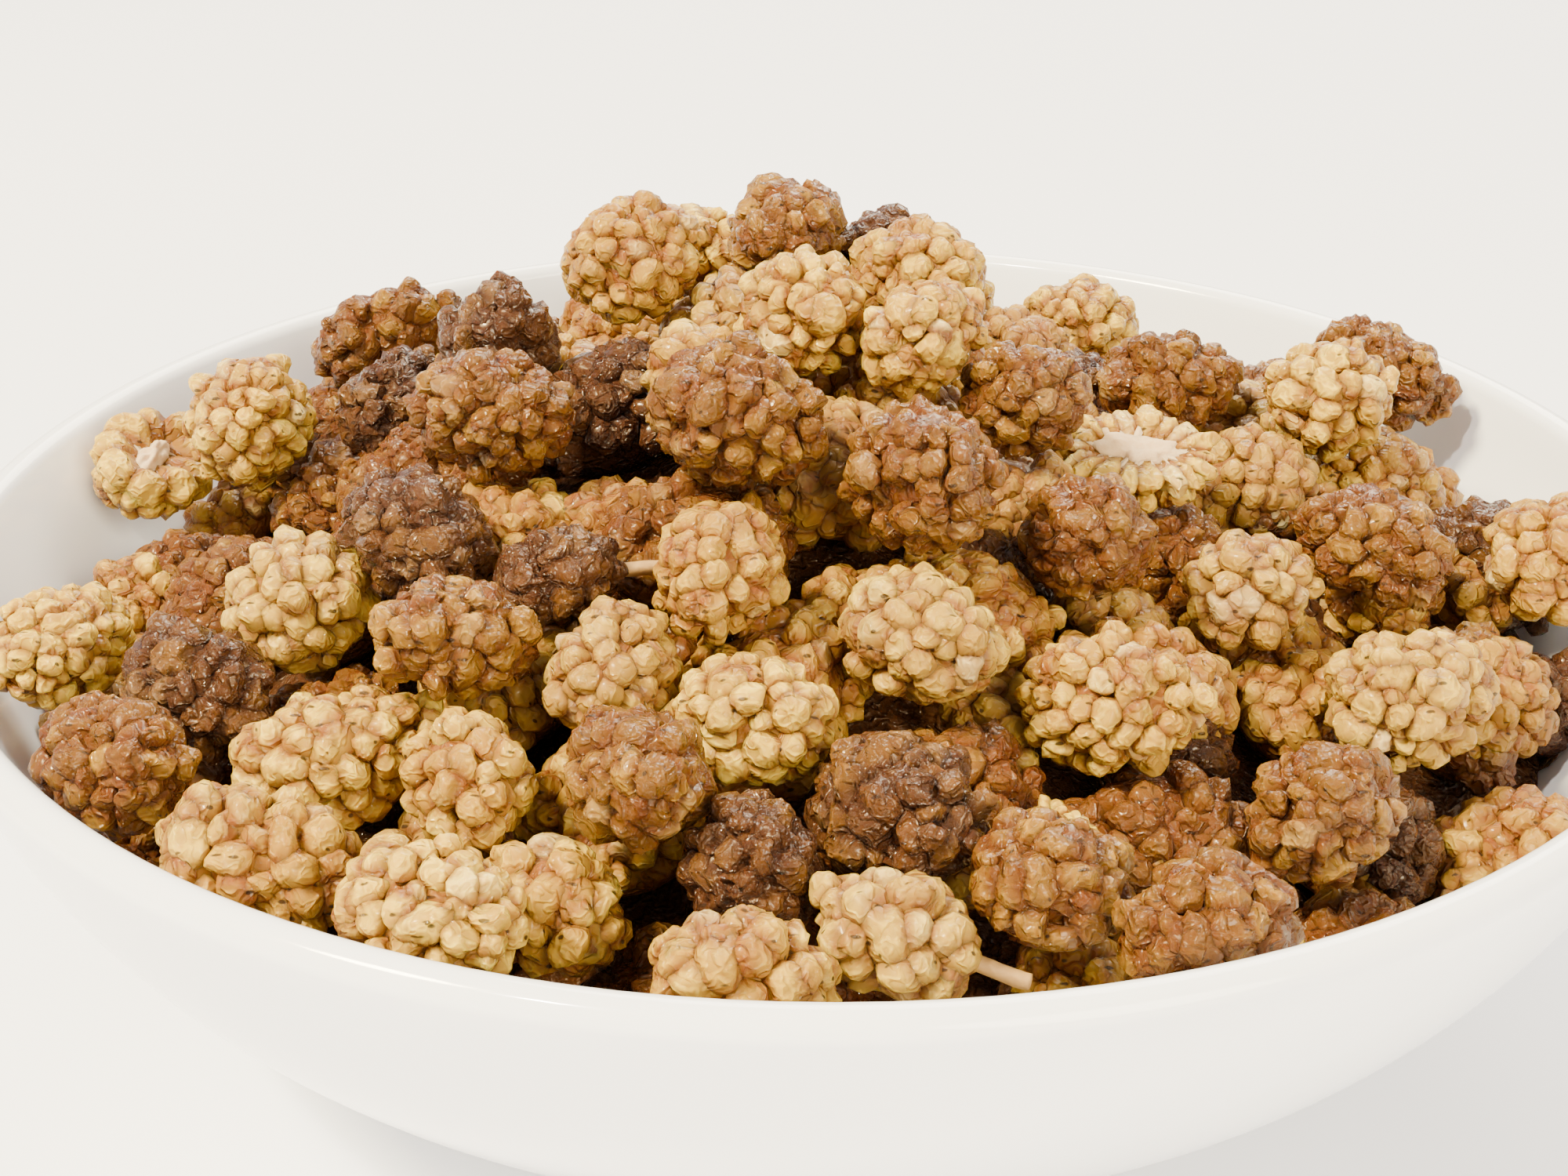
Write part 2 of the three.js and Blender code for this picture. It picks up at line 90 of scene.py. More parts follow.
def colour_setting(name, hex_colour, description):
    return bpy.props.FloatVectorProperty(
        name=name, description=description, subtype="COLOR", size=3, min=0, max=1,
        default=linear(hex_colour),
    )


def length_setting(name, millimetres, description):
    return bpy.props.FloatProperty(
        name=name, description=description, default=millimetres * MM, min=0, unit="LENGTH", precision=5,
    )


def count_setting(name, number, least, most, description):
    return bpy.props.IntProperty(name=name, description=description, default=number, min=least, max=most)


class BowlSettings(bpy.types.PropertyGroup):
    rim_radius: length_setting("Rim radius", 80, "From the axis to the outside of the rim")
    height: length_setting("Height", 45, "From the foot to the level of the rim")
    wall: length_setting("Wall", 3.2, "Thickness of the wall")
    foot_radius: length_setting("Foot radius", 40, "From the axis to the outside of the foot ring")
    foot_width: length_setting("Foot width", 4, "Width of the ring that the bowl stands on")
    foot_height: length_setting("Foot height", 3, "Height of the foot ring")
    floor: length_setting("Floor", 3, "Thickness of the bowl's floor")
    glaze: colour_setting("Glaze", "#F2F3F6", "Colour of the white glaze")
    biscuit: colour_setting("Biscuit", "#E6DFD2", "Colour of the bare clay under the foot ring")


class MulberrySettings(bpy.types.PropertyGroup):
    spacing: length_setting("Spacing", 2.4, "From the middle of a drupelet to the next one's")
    points: count_setting("Points", 84, 20, 200, "Mesh points on a drupelet that shows")
    hidden_points: count_setting("Hidden points", 16, 12, 100, "Mesh points on a drupelet that is covered")
    straw: colour_setting("Straw", "#BE9832", "Skin of the straw-coloured mulberries")
    cream: colour_setting("Cream", "#BA9838", "Skin of the palest mulberries")
    amber: colour_setting("Amber", "#6C4A18", "Skin of the amber mulberries")
    brown: colour_setting("Brown", "#583618", "Skin of the brown mulberries")
    pith: colour_setting("Pith", "#D8BE96", "The bare middle of a split mulberry")
    stem: colour_setting("Stem", "#C8A062", "The short stem that a mulberry was picked with")


class BedSettings(bpy.types.PropertyGroup):
    spacing: length_setting("Spacing", 2.6, "From the middle of a drupelet of the bed to the next one's")
    fill_count: count_setting("Fillers", 90, 0, 160, "Deeper mulberries that fill the gaps of the bed")
    points: count_setting("Points", 42, 12, 200, "Mesh points on a drupelet of the bed")
    fill_depth: length_setting("Filler depth", 1.2, "How far the fillers lie under the bed's surface")


class StageSettings(bpy.types.PropertyGroup):
    lens: bpy.props.FloatProperty(
        name="Lens", description="Focal length of the camera", default=50.4, unit="CAMERA",
    )
    elevation: bpy.props.FloatProperty(
        name="Elevation", description="How far above the horizon the camera stands",
        default=math.radians(26), subtype="ANGLE",
    )
    distance: length_setting("Distance", 210, "From the camera to the point that it looks at")
    target: bpy.props.FloatVectorProperty(
        name="Target", description="The point that the camera looks at", default=(-0.0032, 0, 0.0359),
        subtype="TRANSLATION", unit="LENGTH",
    )
    floor: colour_setting("Floor", "#F1F3FA", "Colour of the plain floor")


# The bowl's curve and the heap's form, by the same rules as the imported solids

# The wall is the stretch of an ellipse between these angles, measured from straight down.
WALL_START = math.radians(15)
WALL_END = math.radians(75)
WALL_STEPS = 60
# The bed stays this clear of the wall.
GAP = 0.3 * MM
# The heap has two mounds over the rim's level and lifts at the back. Its top layer is the loose mulberries,
# and the bed's surface lies under that.
MOUNDS = (
    {"x": -6 * MM, "y": 1 * MM, "top": 28 * MM, "slope": 0.54},
    {"x": 44 * MM, "y": 6 * MM, "top": 12 * MM, "slope": 0.45},
)
MOUND_ROUNDING = 4 * MM
TOP_LAYER = 14 * MM
BACK_LIFT = 7 * MM
BACK_FROM = 10 * MM
BACK_TO = 35 * MM


def wall_point(bowl, angle, depth):
    """Radius and height of the wall at an angle of its ellipse, so deep in from its outside."""
    span = math.sin(WALL_END) - math.sin(WALL_START)
    wide = (bowl.rim_radius - bowl.foot_radius) / span
    high = (bowl.height - bowl.wall / 2 - bowl.foot_height) / (math.cos(WALL_START) - math.cos(WALL_END))
    point = Vector((
        bowl.foot_radius + wide * (math.sin(angle) - math.sin(WALL_START)),
        bowl.foot_height + high * (math.cos(WALL_START) - math.cos(angle)),
    ))
    outward = Vector((high * math.sin(angle), -wide * math.cos(angle))).normalized()
    return point - depth * outward


def inner_radius(bowl, heights):
    """Radius of the bowl's inside at each height. Above the rim it stays as it is there."""
    angles = np.linspace(WALL_START, WALL_END, WALL_STEPS)
    curve = np.array([wall_point(bowl, angle, bowl.wall + GAP) for angle in angles])
    return np.interp(heights, curve[:, 1], curve[:, 0])


def heap_height(bowl, x, y):
    """Height of the bed's surface at each place, between the mulberries that stand out of it."""
    tops = []
    for mound in MOUNDS:
        away = np.sqrt((x - mound["x"]) ** 2 + (y - mound["y"]) ** 2 + MOUND_ROUNDING ** 2) - MOUND_ROUNDING
        tops.append(mound["top"] - mound["slope"] * away)
    rise = np.clip((y - BACK_FROM) / (BACK_TO - BACK_FROM), 0, 1)
    back = BACK_LIFT * rise * rise * (3 - 2 * rise)
    return bowl.height + np.maximum(*tops) - TOP_LAYER + back


def heap_normal(bowl, x, y):
    """The way straight out of the bed's surface."""
    step = 0.5 * MM
    slope_x = (heap_height(bowl, x + step, y) - heap_height(bowl, x - step, y)) / (2 * step)
    slope_y = (heap_height(bowl, x, y + step) - heap_height(bowl, x, y - step)) / (2 * step)
    return Vector((-slope_x, -slope_y, 1)).normalized()


def spiral(count, reach, turn=0.0):
    """Even places across the bowl, from its middle outwards."""
    for i in range(count):
        radius = reach * math.sqrt((i + 0.5) / count)
        yield radius * math.cos(i * GOLDEN_ANGLE + turn), radius * math.sin(i * GOLDEN_ANGLE + turn)


def seeded(seed):
    """Draws between 0 and 1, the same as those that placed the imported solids."""
    state = seed
    while True:
        state = (state * 1664525 + 1013904223) % 2 ** 32
        yield state / 2 ** 32


# Meshes


# The noise repeats after this many of its features.
NOISE_CELLS = 32


@functools.cache
def noise_table(seed):
    return np.random.default_rng(seed).uniform(-1, 1, (NOISE_CELLS, NOISE_CELLS, NOISE_CELLS))


def noise(points, size, seed):
    """Smooth noise from -1 to 1 at each point, with features of about that size."""
    scaled = points / size
    cell = np.floor(scaled).astype(int)
    part = scaled - cell
    part = part * part * (3 - 2 * part)
    table = noise_table(seed)
    total = np.zeros(len(points))
    for corner in itertools.product((0, 1), repeat=3):
        weight = np.prod(np.where(corner, part, 1 - part), axis=1)
        x, y, z = ((cell + corner) % NOISE_CELLS).T
        total += weight * table[x, y, z]
    return total


@functools.cache
def sphere(count, upper_share=0.5):
    """Directions all round, with that share of them in the upper half, and the triangles between them."""
    place = (np.arange(count) + 0.5) / count
    height = np.where(
        place < upper_share, 1 - place / upper_share, -(place - upper_share) / (1 - upper_share),
    )
    ring = np.sqrt(1 - height ** 2)
    turn = np.arange(count) * GOLDEN_ANGLE
    directions = np.stack([ring * np.cos(turn), ring * np.sin(turn), height], axis=1)
    hull = bmesh.new()
    for direction in directions:
        hull.verts.new(direction)
    hull.verts.index_update()
    bmesh.ops.convex_hull(hull, input=hull.verts)
    bmesh.ops.triangulate(hull, faces=hull.faces)
    faces = np.array([[vert.index for vert in face.verts] for face in hull.faces])
    hull.free()
    corners = directions[faces]
    outward = np.cross(corners[:, 1] - corners[:, 0], corners[:, 2] - corners[:, 0])
    inside_out = (outward * corners[:, 0]).sum(axis=1) < 0
    faces[inside_out] = faces[inside_out][:, ::-1]
    return directions, faces


def make_piece(name, points, faces, materials, face_material=0, marks=None):
    """A smooth-shaded mesh object. marks are numbers at its points that its materials read."""
    mesh = bpy.data.meshes.new(name)
    mesh.from_pydata(np.asarray(points).tolist(), [], [list(map(int, face)) for face in faces])
    for material in materials:
        mesh.materials.append(material)
    mesh.polygons.foreach_set("use_smooth", np.ones(len(faces), bool))
    mesh.polygons.foreach_set("material_index", np.broadcast_to(face_material, len(faces)).astype(np.int32))
    for label, values in (marks or {}).items():
        mesh.attributes.new(label, "FLOAT", "POINT").data.foreach_set("value", values.astype(np.float32))
    mesh.validate()
    mesh.update()
    piece = bpy.data.objects.new(name, mesh)
    bpy.context.scene.collection.objects.link(piece)
    return piece


def stand_for(piece, slot, *nodes):
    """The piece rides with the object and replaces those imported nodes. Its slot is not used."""
    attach(piece, BODY)
    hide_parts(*nodes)


def turned(profile, steps):
    """Points and faces of a profile of radius and height turned about Z, from axis to axis."""
    rings = profile[1:-1]
    points = [(0, 0, profile[0][1])]
    for step in range(steps):
        turn = 2 * math.pi * step / steps
        points += [(radius * math.cos(turn), radius * math.sin(turn), height) for radius, height in rings]
    points.append((0, 0, profile[-1][1]))
    last = len(points) - 1
    faces = []
    for step in range(steps):
        here = 1 + step * len(rings)
        there = 1 + (step + 1) % steps * len(rings)
        faces.append((0, there, here))
        for i in range(len(rings) - 1):
            faces.append((here + i, there + i, there + i + 1, here + i + 1))
        faces.append((here + len(rings) - 1, there + len(rings) - 1, last))
    return points, faces


# Materials


def add_node(tree, kind, inputs=None, **settings):
    """Adds a node with its settings, and sets each of its inputs or links it to the socket given."""
    node = tree.nodes.new(kind)
    for name, value in settings.items():
        setattr(node, name, value)
    for name, value in (inputs or {}).items():
        if isinstance(value, bpy.types.NodeSocket):
            tree.links.new(value, node.inputs[name])
        else:
            node.inputs[name].default_value = value
    return node


def new_material(name):
    material = bpy.data.materials.new(name)
    material.use_nodes = True
    material.node_tree.nodes.clear()
    return material, material.node_tree


def finish_material(tree, shader):
    output = add_node(tree, "ShaderNodeOutputMaterial")
    tree.links.new(shader.outputs[0], output.inputs["Surface"])


def rgba(colour):
    return (*colour, 1)


def shade(colour, other, share):
    """A colour that share of the way to another one."""
    return tuple(a + (b - a) * share for a, b in zip(colour, other))


# Inputs and output of a Mix node that is set to colours.
MIX_FACTOR, MIX_A, MIX_B, MIX_RESULT = 0, 6, 7, 2


def glazed_porcelain(bowl):
    """White porcelain, dipped in clear glaze and fired: a smooth glassy coat over a faintly milky body,
    with the slow waviness of a poured glaze, and bare, rough clay under the foot ring."""
    material, tree = new_material("White porcelain, glazed and fired")
    place = add_node(tree, "ShaderNodeTexCoord").outputs["Object"]
    height = add_node(tree, "ShaderNodeSeparateXYZ", {0: place}).outputs["Z"]
    # The glaze is wiped off the lowest 0.6 mm of the foot ring.
    bare = add_node(tree, "ShaderNodeMapRange", {
        "Value": height, "From Min": 0.9 * MM, "From Max": 0.6 * MM, "To Min": 0.0, "To Max": 1.0,
    }).outputs[0]
    colour = add_node(tree, "ShaderNodeMix", {
        MIX_FACTOR: bare, MIX_A: rgba(bowl.glaze), MIX_B: rgba(bowl.biscuit),
    }, data_type="RGBA").outputs[MIX_RESULT]
    rough = add_node(tree, "ShaderNodeMapRange", {
        "Value": bare, "From Min": 0.0, "From Max": 1.0, "To Min": 0.12, "To Max": 0.7,
    }).outputs[0]
    # Poured glaze waves over about 9 mm.
    wave = add_node(tree, "ShaderNodeTexNoise", {
        "Vector": place, "Scale": 1 / (9 * MM), "Detail": 1.0,
    }).outputs["Fac"]
    bump = add_node(tree, "ShaderNodeBump", {"Height": wave, "Strength": 0.25, "Distance": 0.1 * MM})
    shader = add_node(tree, "ShaderNodeBsdfPrincipled", {
        "Base Color": colour, "Roughness": rough, "IOR": 1.5, "Normal": bump.outputs[0],
        "Subsurface Weight": 0.15, "Subsurface Radius": (1.0, 0.8, 0.6), "Subsurface Scale": 1.5 * MM,
    })
    finish_material(tree, shader)
    return material


# What each look of dried flesh differs in. roughness is the flesh's own, and film how much a film of
# dried juice covers it. wrinkle is the height in mm of the flesh's folds, and crinkle that of the film's
# finer ones. valley is how much painted shade deepens the tone in the folds' valleys, milky how milky some
# drupelets set, and glow how much light the flesh lets through. The colours are those of riper flesh (deep),
# which also paints the shade in the valleys, of the painted shade in the creases, of the plumpest drupelets
# (pale) and of greyed patches.
LOOKS = {
    "straw": {
        "roughness": 0.34, "film": 0.35, "wrinkle": 0.18, "crinkle": 0.1, "valley": 0.5, "milky": 0.5,
        "glow": 0.5, "deep": "#8E6622", "crease_shade": "#743E1E", "pale": "#DEBE48", "grey": "#86704C",
    },
    "cream": {
        "roughness": 0.36, "film": 0.3, "wrinkle": 0.16, "crinkle": 0.09, "valley": 0.45, "milky": 0.6,
        "glow": 0.5, "deep": "#8E6A2A", "crease_shade": "#764626", "pale": "#DABA4C", "grey": "#8E805C",
    },
    "amber": {
        "roughness": 0.28, "film": 0.5, "wrinkle": 0.2, "crinkle": 0.15, "valley": 0.45, "milky": 0.12,
        "glow": 0.6, "deep": "#5E3A14", "crease_shade": "#582C12", "pale": "#9C7624", "grey": "#584022",
    },
    "brown": {
        "roughness": 0.28, "film": 0.6, "wrinkle": 0.24, "crinkle": 0.16, "valley": 0.45, "milky": 0.08,
        "glow": 0.4, "deep": "#402412", "crease_shade": "#3A1E10", "pale": "#7C5620", "grey": "#463424",
    },
}
DARK_STYLE = "#2B1D14"
MILKY = "#C9B692"
SHEEN = "#FFE6C4"


@functools.cache
def mulberry_flesh(look):
    """Mulberry flesh, dried in the sun: each drupelet has shrunk on its seed to a waxy, translucent skin
    that lets warm light through, a few of them paler, greyed or milky, with dark styles on them. Painted
    shade darkens it to red-brown in the creases and deepens the valleys of its folds. A thin film of dried
    juice lies over the folds, and its fine crinkles glint."""
    berry = bpy.context.scene.mulberry_settings
    ways = LOOKS[look]
    material, tree = new_material(f"Mulberry flesh, sun-dried, {look}")
    place = add_node(tree, "ShaderNodeTexCoord").outputs["Object"]
    drupelet, crown, ripe = (
        add_node(tree, "ShaderNodeAttribute", attribute_name=label).outputs["Fac"]
        for label in ("drupelet", "crown", "ripe")
    )
    # Sugar and juice have dried unevenly under the skin, in clouds of about 2 mm.
    cloud = add_node(tree, "ShaderNodeTexNoise", {
        "Vector": place, "Scale": 1 / (2.2 * MM), "Detail": 3.0, "Roughness": 0.6,
    }).outputs["Fac"]
    # Greyed patches reach over two or three drupelets, about 5 mm.
    patch = add_node(tree, "ShaderNodeTexNoise", {
        "Vector": place, "Scale": 1 / (5 * MM), "Detail": 4.0, "Roughness": 0.65,
    }).outputs["Fac"]
    # The skin shrank into sharp folds over about 1.3 mm, which run where a cloudy noise crosses its middle.
    # The film over it dried with finer ones of about 0.45 mm.
    heights = []
    for size in (1.3 * MM, 0.45 * MM):
        cloudy = add_node(tree, "ShaderNodeTexNoise", {
            "Vector": place, "Scale": 1 / size, "Detail": 1.0, "Roughness": 0.6, "Distortion": 0.4,
        }).outputs["Fac"]
        away = add_node(tree, "ShaderNodeMath", {0: cloudy, 1: 0.5}, operation="SUBTRACT").outputs[0]
        away = add_node(tree, "ShaderNodeMath", {0: away}, operation="ABSOLUTE").outputs[0]
        heights.append(add_node(tree, "ShaderNodeMapRange", {
            "Value": away, "From Min": 0.12, "From Max": 0.0, "To Min": 0.0, "To Max": 1.0,
        }).outputs[0])
    fold, crinkle = heights
    # Dried styles show as short dark hairs, under 1 mm long, about one to a drupelet.
    drawn = add_node(tree, "ShaderNodeVectorMath", {0: place, 1: (0.5, 1.8, 1.2)}, operation="MULTIPLY")
    style = add_node(tree, "ShaderNodeTexVoronoi", {
        "Vector": drawn.outputs[0], "Scale": 1 / (1.5 * MM), "Randomness": 1.0,
    }).outputs["Distance"]
    # The tints over the skin's own colour, each over those before it: the value that it follows, where that
    # starts to show it and where it shows it most, how much of it shows there, and its colour.
    tints = (
        # Each drupelet draws its own tone: most are near the skin's, some plumper and paler, some deeper.
        (drupelet, 0.5, 0.9, 0.85, ways["pale"]),
        (drupelet, 0.3, 0.0, 0.7, ways["deep"]),
        # About one in sixteen dried milky, as its juice set to sugar.
        (drupelet, 0.935, 0.94, ways["milky"], MILKY),
        # A riper fruit is deeper all over, and a less ripe one paler.
        (ripe, 0.4, 1.0, 0.5, ways["deep"]),
        (ripe, 0.4, 0.0, 0.5, ways["pale"]),
        (cloud, 0.5, 0.64, 0.4, ways["deep"]),
        (patch, 0.56, 0.66, 0.4, ways["grey"]),
        # Painted shade: darker and redder towards the creases between drupelets, and deeper in the valleys of
        # the skin's folds.
        (crown, 0.9, 0.1, 0.9, ways["crease_shade"]),
        (fold, 0.5, 0.0, ways["valley"], ways["deep"]),
        (style, 0.17, 0.12, 0.85, DARK_STYLE),
    )
    colour = rgba(getattr(berry, look))
    for value, start, end, most, tint in tints:
        share = add_node(tree, "ShaderNodeMapRange", {
            "Value": value, "From Min": start, "From Max": end, "To Min": 0.0, "To Max": most,
        }).outputs[0]
        colour = add_node(tree, "ShaderNodeMix", {
            MIX_FACTOR: share, MIX_A: colour, MIX_B: rgba(linear(tint)),
        }, data_type="RGBA").outputs[MIX_RESULT]
    bump = add_node(tree, "ShaderNodeBump", {
        "Height": fold, "Strength": 1.0, "Distance": ways["wrinkle"] * MM,
    }).outputs[0]
    film = add_node(tree, "ShaderNodeBump", {
        "Height": crinkle, "Strength": 1.0, "Distance": ways["crinkle"] * MM, "Normal": bump,
    }).outputs[0]
    shader = add_node(tree, "ShaderNodeBsdfPrincipled", {
        "Base Color": colour, "Roughness": ways["roughness"], "IOR": 1.45, "Normal": bump,
        "Specular IOR Level": 0.18, "Specular Tint": rgba(linear(SHEEN)),
        "Coat Weight": ways["film"], "Coat Roughness": 0.08, "Coat IOR": 1.45, "Coat Normal": film,
        "Subsurface Weight": ways["glow"], "Subsurface Radius": (1.0, 0.5, 0.25),
        "Subsurface Scale": 1.2 * MM,
    })
    finish_material(tree, shader)
    return material


def grained_material(name, colour, hollow, grain, bump, body):
    """A dull material with one fine grain, whose hollows have a deeper tone, partly the grain's own and
    partly painted shade. grain, bump and body are the inputs of the noise that draws it, of the height it
    gives, and of the shader."""
    material, tree = new_material(name)
    place = add_node(tree, "ShaderNodeTexCoord").outputs["Object"]
    height = add_node(tree, "ShaderNodeTexNoise", {"Vector": place, **grain}).outputs["Fac"]
    mixed = add_node(tree, "ShaderNodeMix", {
        MIX_FACTOR: height, MIX_A: rgba(hollow), MIX_B: rgba(colour),
    }, data_type="RGBA").outputs[MIX_RESULT]
    normal = add_node(tree, "ShaderNodeBump", {"Height": height, **bump}).outputs[0]
    shader = add_node(tree, "ShaderNodeBsdfPrincipled", {"Base Color": mixed, "Normal": normal, **body})
    finish_material(tree, shader)
    return material


PITH_SHADE = "#A2733E"
STALK_SHADE = "#7C5226"


@functools.cache
def mulberry_pith():
    """The spongy middle of the fruit, dried bare: dull, dry and nearly white, with a felted grain."""
    pith = bpy.context.scene.mulberry_settings.pith
    return grained_material(
        "Mulberry pith, dried", pith, shade(pith, linear(PITH_SHADE), 0.6),
        {"Scale": 1 / (0.6 * MM), "Detail": 4.0, "Roughness": 0.65},
        {"Strength": 0.6, "Distance": 0.2 * MM},
        {
            "Roughness": 0.8, "Subsurface Weight": 0.3, "Subsurface Radius": (1.0, 0.7, 0.45),
            "Subsurface Scale": 0.8 * MM,
        },
    )


@functools.cache
def mulberry_stem():
    """The green stalk, dried to pale straw: matte and fibrous. Its fibres are too fine to show, so they are
    drawn as a grain of about 0.5 mm."""
    stem = bpy.context.scene.mulberry_settings.stem
    return grained_material(
        "Mulberry stalk, dried", stem, shade(stem, linear(STALK_SHADE), 0.5),
        {"Scale": 1 / (0.5 * MM), "Detail": 3.0},
        {"Strength": 0.5, "Distance": 0.12 * MM},
        {
            "Roughness": 0.62, "Subsurface Weight": 0.15, "Subsurface Radius": (1.0, 0.6, 0.3),
            "Subsurface Scale": 0.5 * MM,
        },
    )


# One mulberry


def body_of(node):
    """Middle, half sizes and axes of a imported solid, from its volume, so that a thin stem hardly counts.
    The axes are the columns, longest first."""
    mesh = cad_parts[node].data
    mesh.calc_loop_triangles()
    points = np.empty(len(mesh.vertices) * 3)
    mesh.vertices.foreach_get("co", points)
    points = points.reshape(-1, 3)
    index = np.empty(len(mesh.loop_triangles) * 3, np.int32)
    mesh.loop_triangles.foreach_get("vertices", index)
    a, b, c = (points[index.reshape(-1, 3)[:, i]] - points.mean(axis=0) for i in range(3))
    volume = (a * np.cross(b, c)).sum(axis=1) / 6
    middle = (volume[:, None] * (a + b + c)).sum(axis=0) / (4 * volume.sum())
    spread = np.zeros((3, 3))
    for one, other in itertools.product((a, b, c), repeat=2):
        share = 2 if one is other else 1
        spread += share * np.einsum("n,ni,nj->ij", volume, one, other) / 20
    spread = spread / volume.sum() - np.outer(middle, middle)
    values, axes = np.linalg.eigh(spread)
    half_sizes = np.sqrt(5 * values[::-1])
    axes = axes[:, ::-1]
    if np.linalg.det(axes) < 0:
        axes[:, 1] = -axes[:, 1]
    return middle + points.mean(axis=0), half_sizes, axes


# What each look of dried fruit differs in. swell is half the width of a drupelet against their spacing,
# pressed how far from its middle its flats lie, and hollow how concave they dried. lump is how uneven a
# drupelet is, fold the height in mm of its skin's folds, and sunk the share of drupelets that fell in.
FORMS = {
    "straw": {
        "swell": 0.6, "pressed": (0.64, 1.05), "hollow": (0.6, 2.6),
        "lump": 0.15, "fold": 0.16, "sunk": 0.08,
    },
    "cream": {
        "swell": 0.6, "pressed": (0.7, 1.1), "hollow": (0.6, 2.4),
        "lump": 0.13, "fold": 0.14, "sunk": 0.06,
    },
    "amber": {
        "swell": 0.64, "pressed": (0.56, 1.0), "hollow": (0.8, 3.0),
        "lump": 0.2, "fold": 0.24, "sunk": 0.1,
    },
    "brown": {
        "swell": 0.63, "pressed": (0.54, 1.0), "hollow": (0.8, 3.2),
        "lump": 0.22, "fold": 0.28, "sunk": 0.12,
    },
}

# How unevenly the drupelets of a fruit grow: how far each is off its even place, how far it leans, how
# much their sizes differ and within which limits, how long they are against their width, how deep they
# are against both, and how much their spacing differs from fruit to fruit.
SITE_SPREAD = 0.55
LEAN_SPREAD = 0.16
SIZE_SPREAD = 0.17
SIZE_LIMITS = (-0.35, 0.45)
STRETCH = (0.84, 1.19)
DEPTH = (1.0, 1.3)
SPACING_SPREAD = (0.92, 1.1)
# How a fruit shrinks, as shares of its half size: how deep a dent is at most, how uneven the levels of its
# drupelets are, and how far the sunk ones fall in. A dent is at least DENT_LEAST of the deepest. It starts
# where the cosine of the angle from its middle is DENT_START, and is full DENT_RISE further on.
DENTS = 3
DENT_DEPTH = 0.22
DENT_LEAST = 0.2
DENT_START = 0.55
DENT_RISE = 0.45
DENT_POWER = 1.5
LEVEL_SPREAD = 0.022
SUNK_DEPTH = 0.12
# How one drupelet dries, in its own radii: the share of its points on its crown's side, the flats round it,
# which gather towards its crown, the sizes of its lumps, of which the smaller ones are half as high, and how
# far under its middle a tapered one has narrowed to its root.
CROWN_SHARE = 0.88
FLATS = 4
FLAT_SPREAD = 0.8
FLAT_LEAN = (0, 0, 0.9)
FLAT_EDGE = 0.05
LUMP_SIZES = (0.9, 0.42)
ROOT_DEPTH = 0.8
# Its skin's folds run on over the fruit at these sizes.
FOLD_SIZES = (1.1 * MM, 0.6 * MM)
# Each drupelet takes its lumps from a place of its own in the noise, up to so many of its radii along it,
# and a fruit's drupelets take their folds from one place, up to so many metres along.
LUMP_DRIFT = 20
FOLD_DRIFT = 1
# The painted crease shade ends this far out of the neighbour's skin, in the neighbour's radii. A drupelet
# counts as this far from itself, so that it is never its own neighbour.
CREASE_REACH = 0.45
OUT_OF_REACH = 9


def even_sites(count, random):
    """Uneven but well-spread places on a unit sphere, in a spiral along X."""
    index = np.arange(count) + 0.5
    along = 1 - 2 * index / count
    ring = np.sqrt(1 - along ** 2)
    turn = np.arange(count) * GOLDEN_ANGLE + random.uniform(0, 2 * math.pi)
    sites = np.stack([along, ring * np.cos(turn), ring * np.sin(turn)], axis=1)
    sites += random.normal(0, SITE_SPREAD / math.sqrt(count), sites.shape)
    return sites / np.linalg.norm(sites, axis=1, keepdims=True)


def dented(sites, random):
    """Levels of the sites on a fruit that has shrunk in at a few places."""
    level = np.ones(len(sites))
    for _ in range(DENTS):
        pole = random.normal(size=3)
        pole /= np.linalg.norm(pole)
        depth = DENT_DEPTH * random.uniform(DENT_LEAST, 1)
        level -= depth * np.clip((sites @ pole - DENT_START) / DENT_RISE, 0, 1) ** DENT_POWER
    return level


def drupelets_on(half_sizes, sites, level, random, form):
    """Middles, axes and radii of the drupelets that cover an ellipsoid. The axes are rows: two across the
    drupelet, then the one out of the fruit."""
    count = len(sites)
    outward = sites / half_sizes
    steepness = np.linalg.norm(outward, axis=1, keepdims=True)
    spacing = np.sqrt(4 * math.pi / count * np.prod(half_sizes) * steepness)
    normal = outward / steepness
    lean = normal + random.normal(0, LEAN_SPREAD, normal.shape)
    lean /= np.linalg.norm(lean, axis=1, keepdims=True)
    side = np.cross(lean, random.normal(size=(count, 3)))
    side /= np.linalg.norm(side, axis=1, keepdims=True)
    axes = np.stack([side, np.cross(lean, side), lean], axis=1)
    swell = np.clip(random.normal(0, SIZE_SPREAD, (count, 1)), *SIZE_LIMITS)
    size = form["swell"] * spacing * np.exp(swell)
    stretch = random.uniform(*STRETCH, (count, 1))
    radii = size * np.hstack([stretch, 1 / stretch, random.uniform(*DEPTH, (count, 1))])
    sunk = random.uniform(0, 1, count) < form["sunk"]
    level = level + random.normal(0, LEVEL_SPREAD, count) - SUNK_DEPTH * sunk
    return sites * half_sizes * level[:, None] - lean * radii[:, 2:], axes, radii


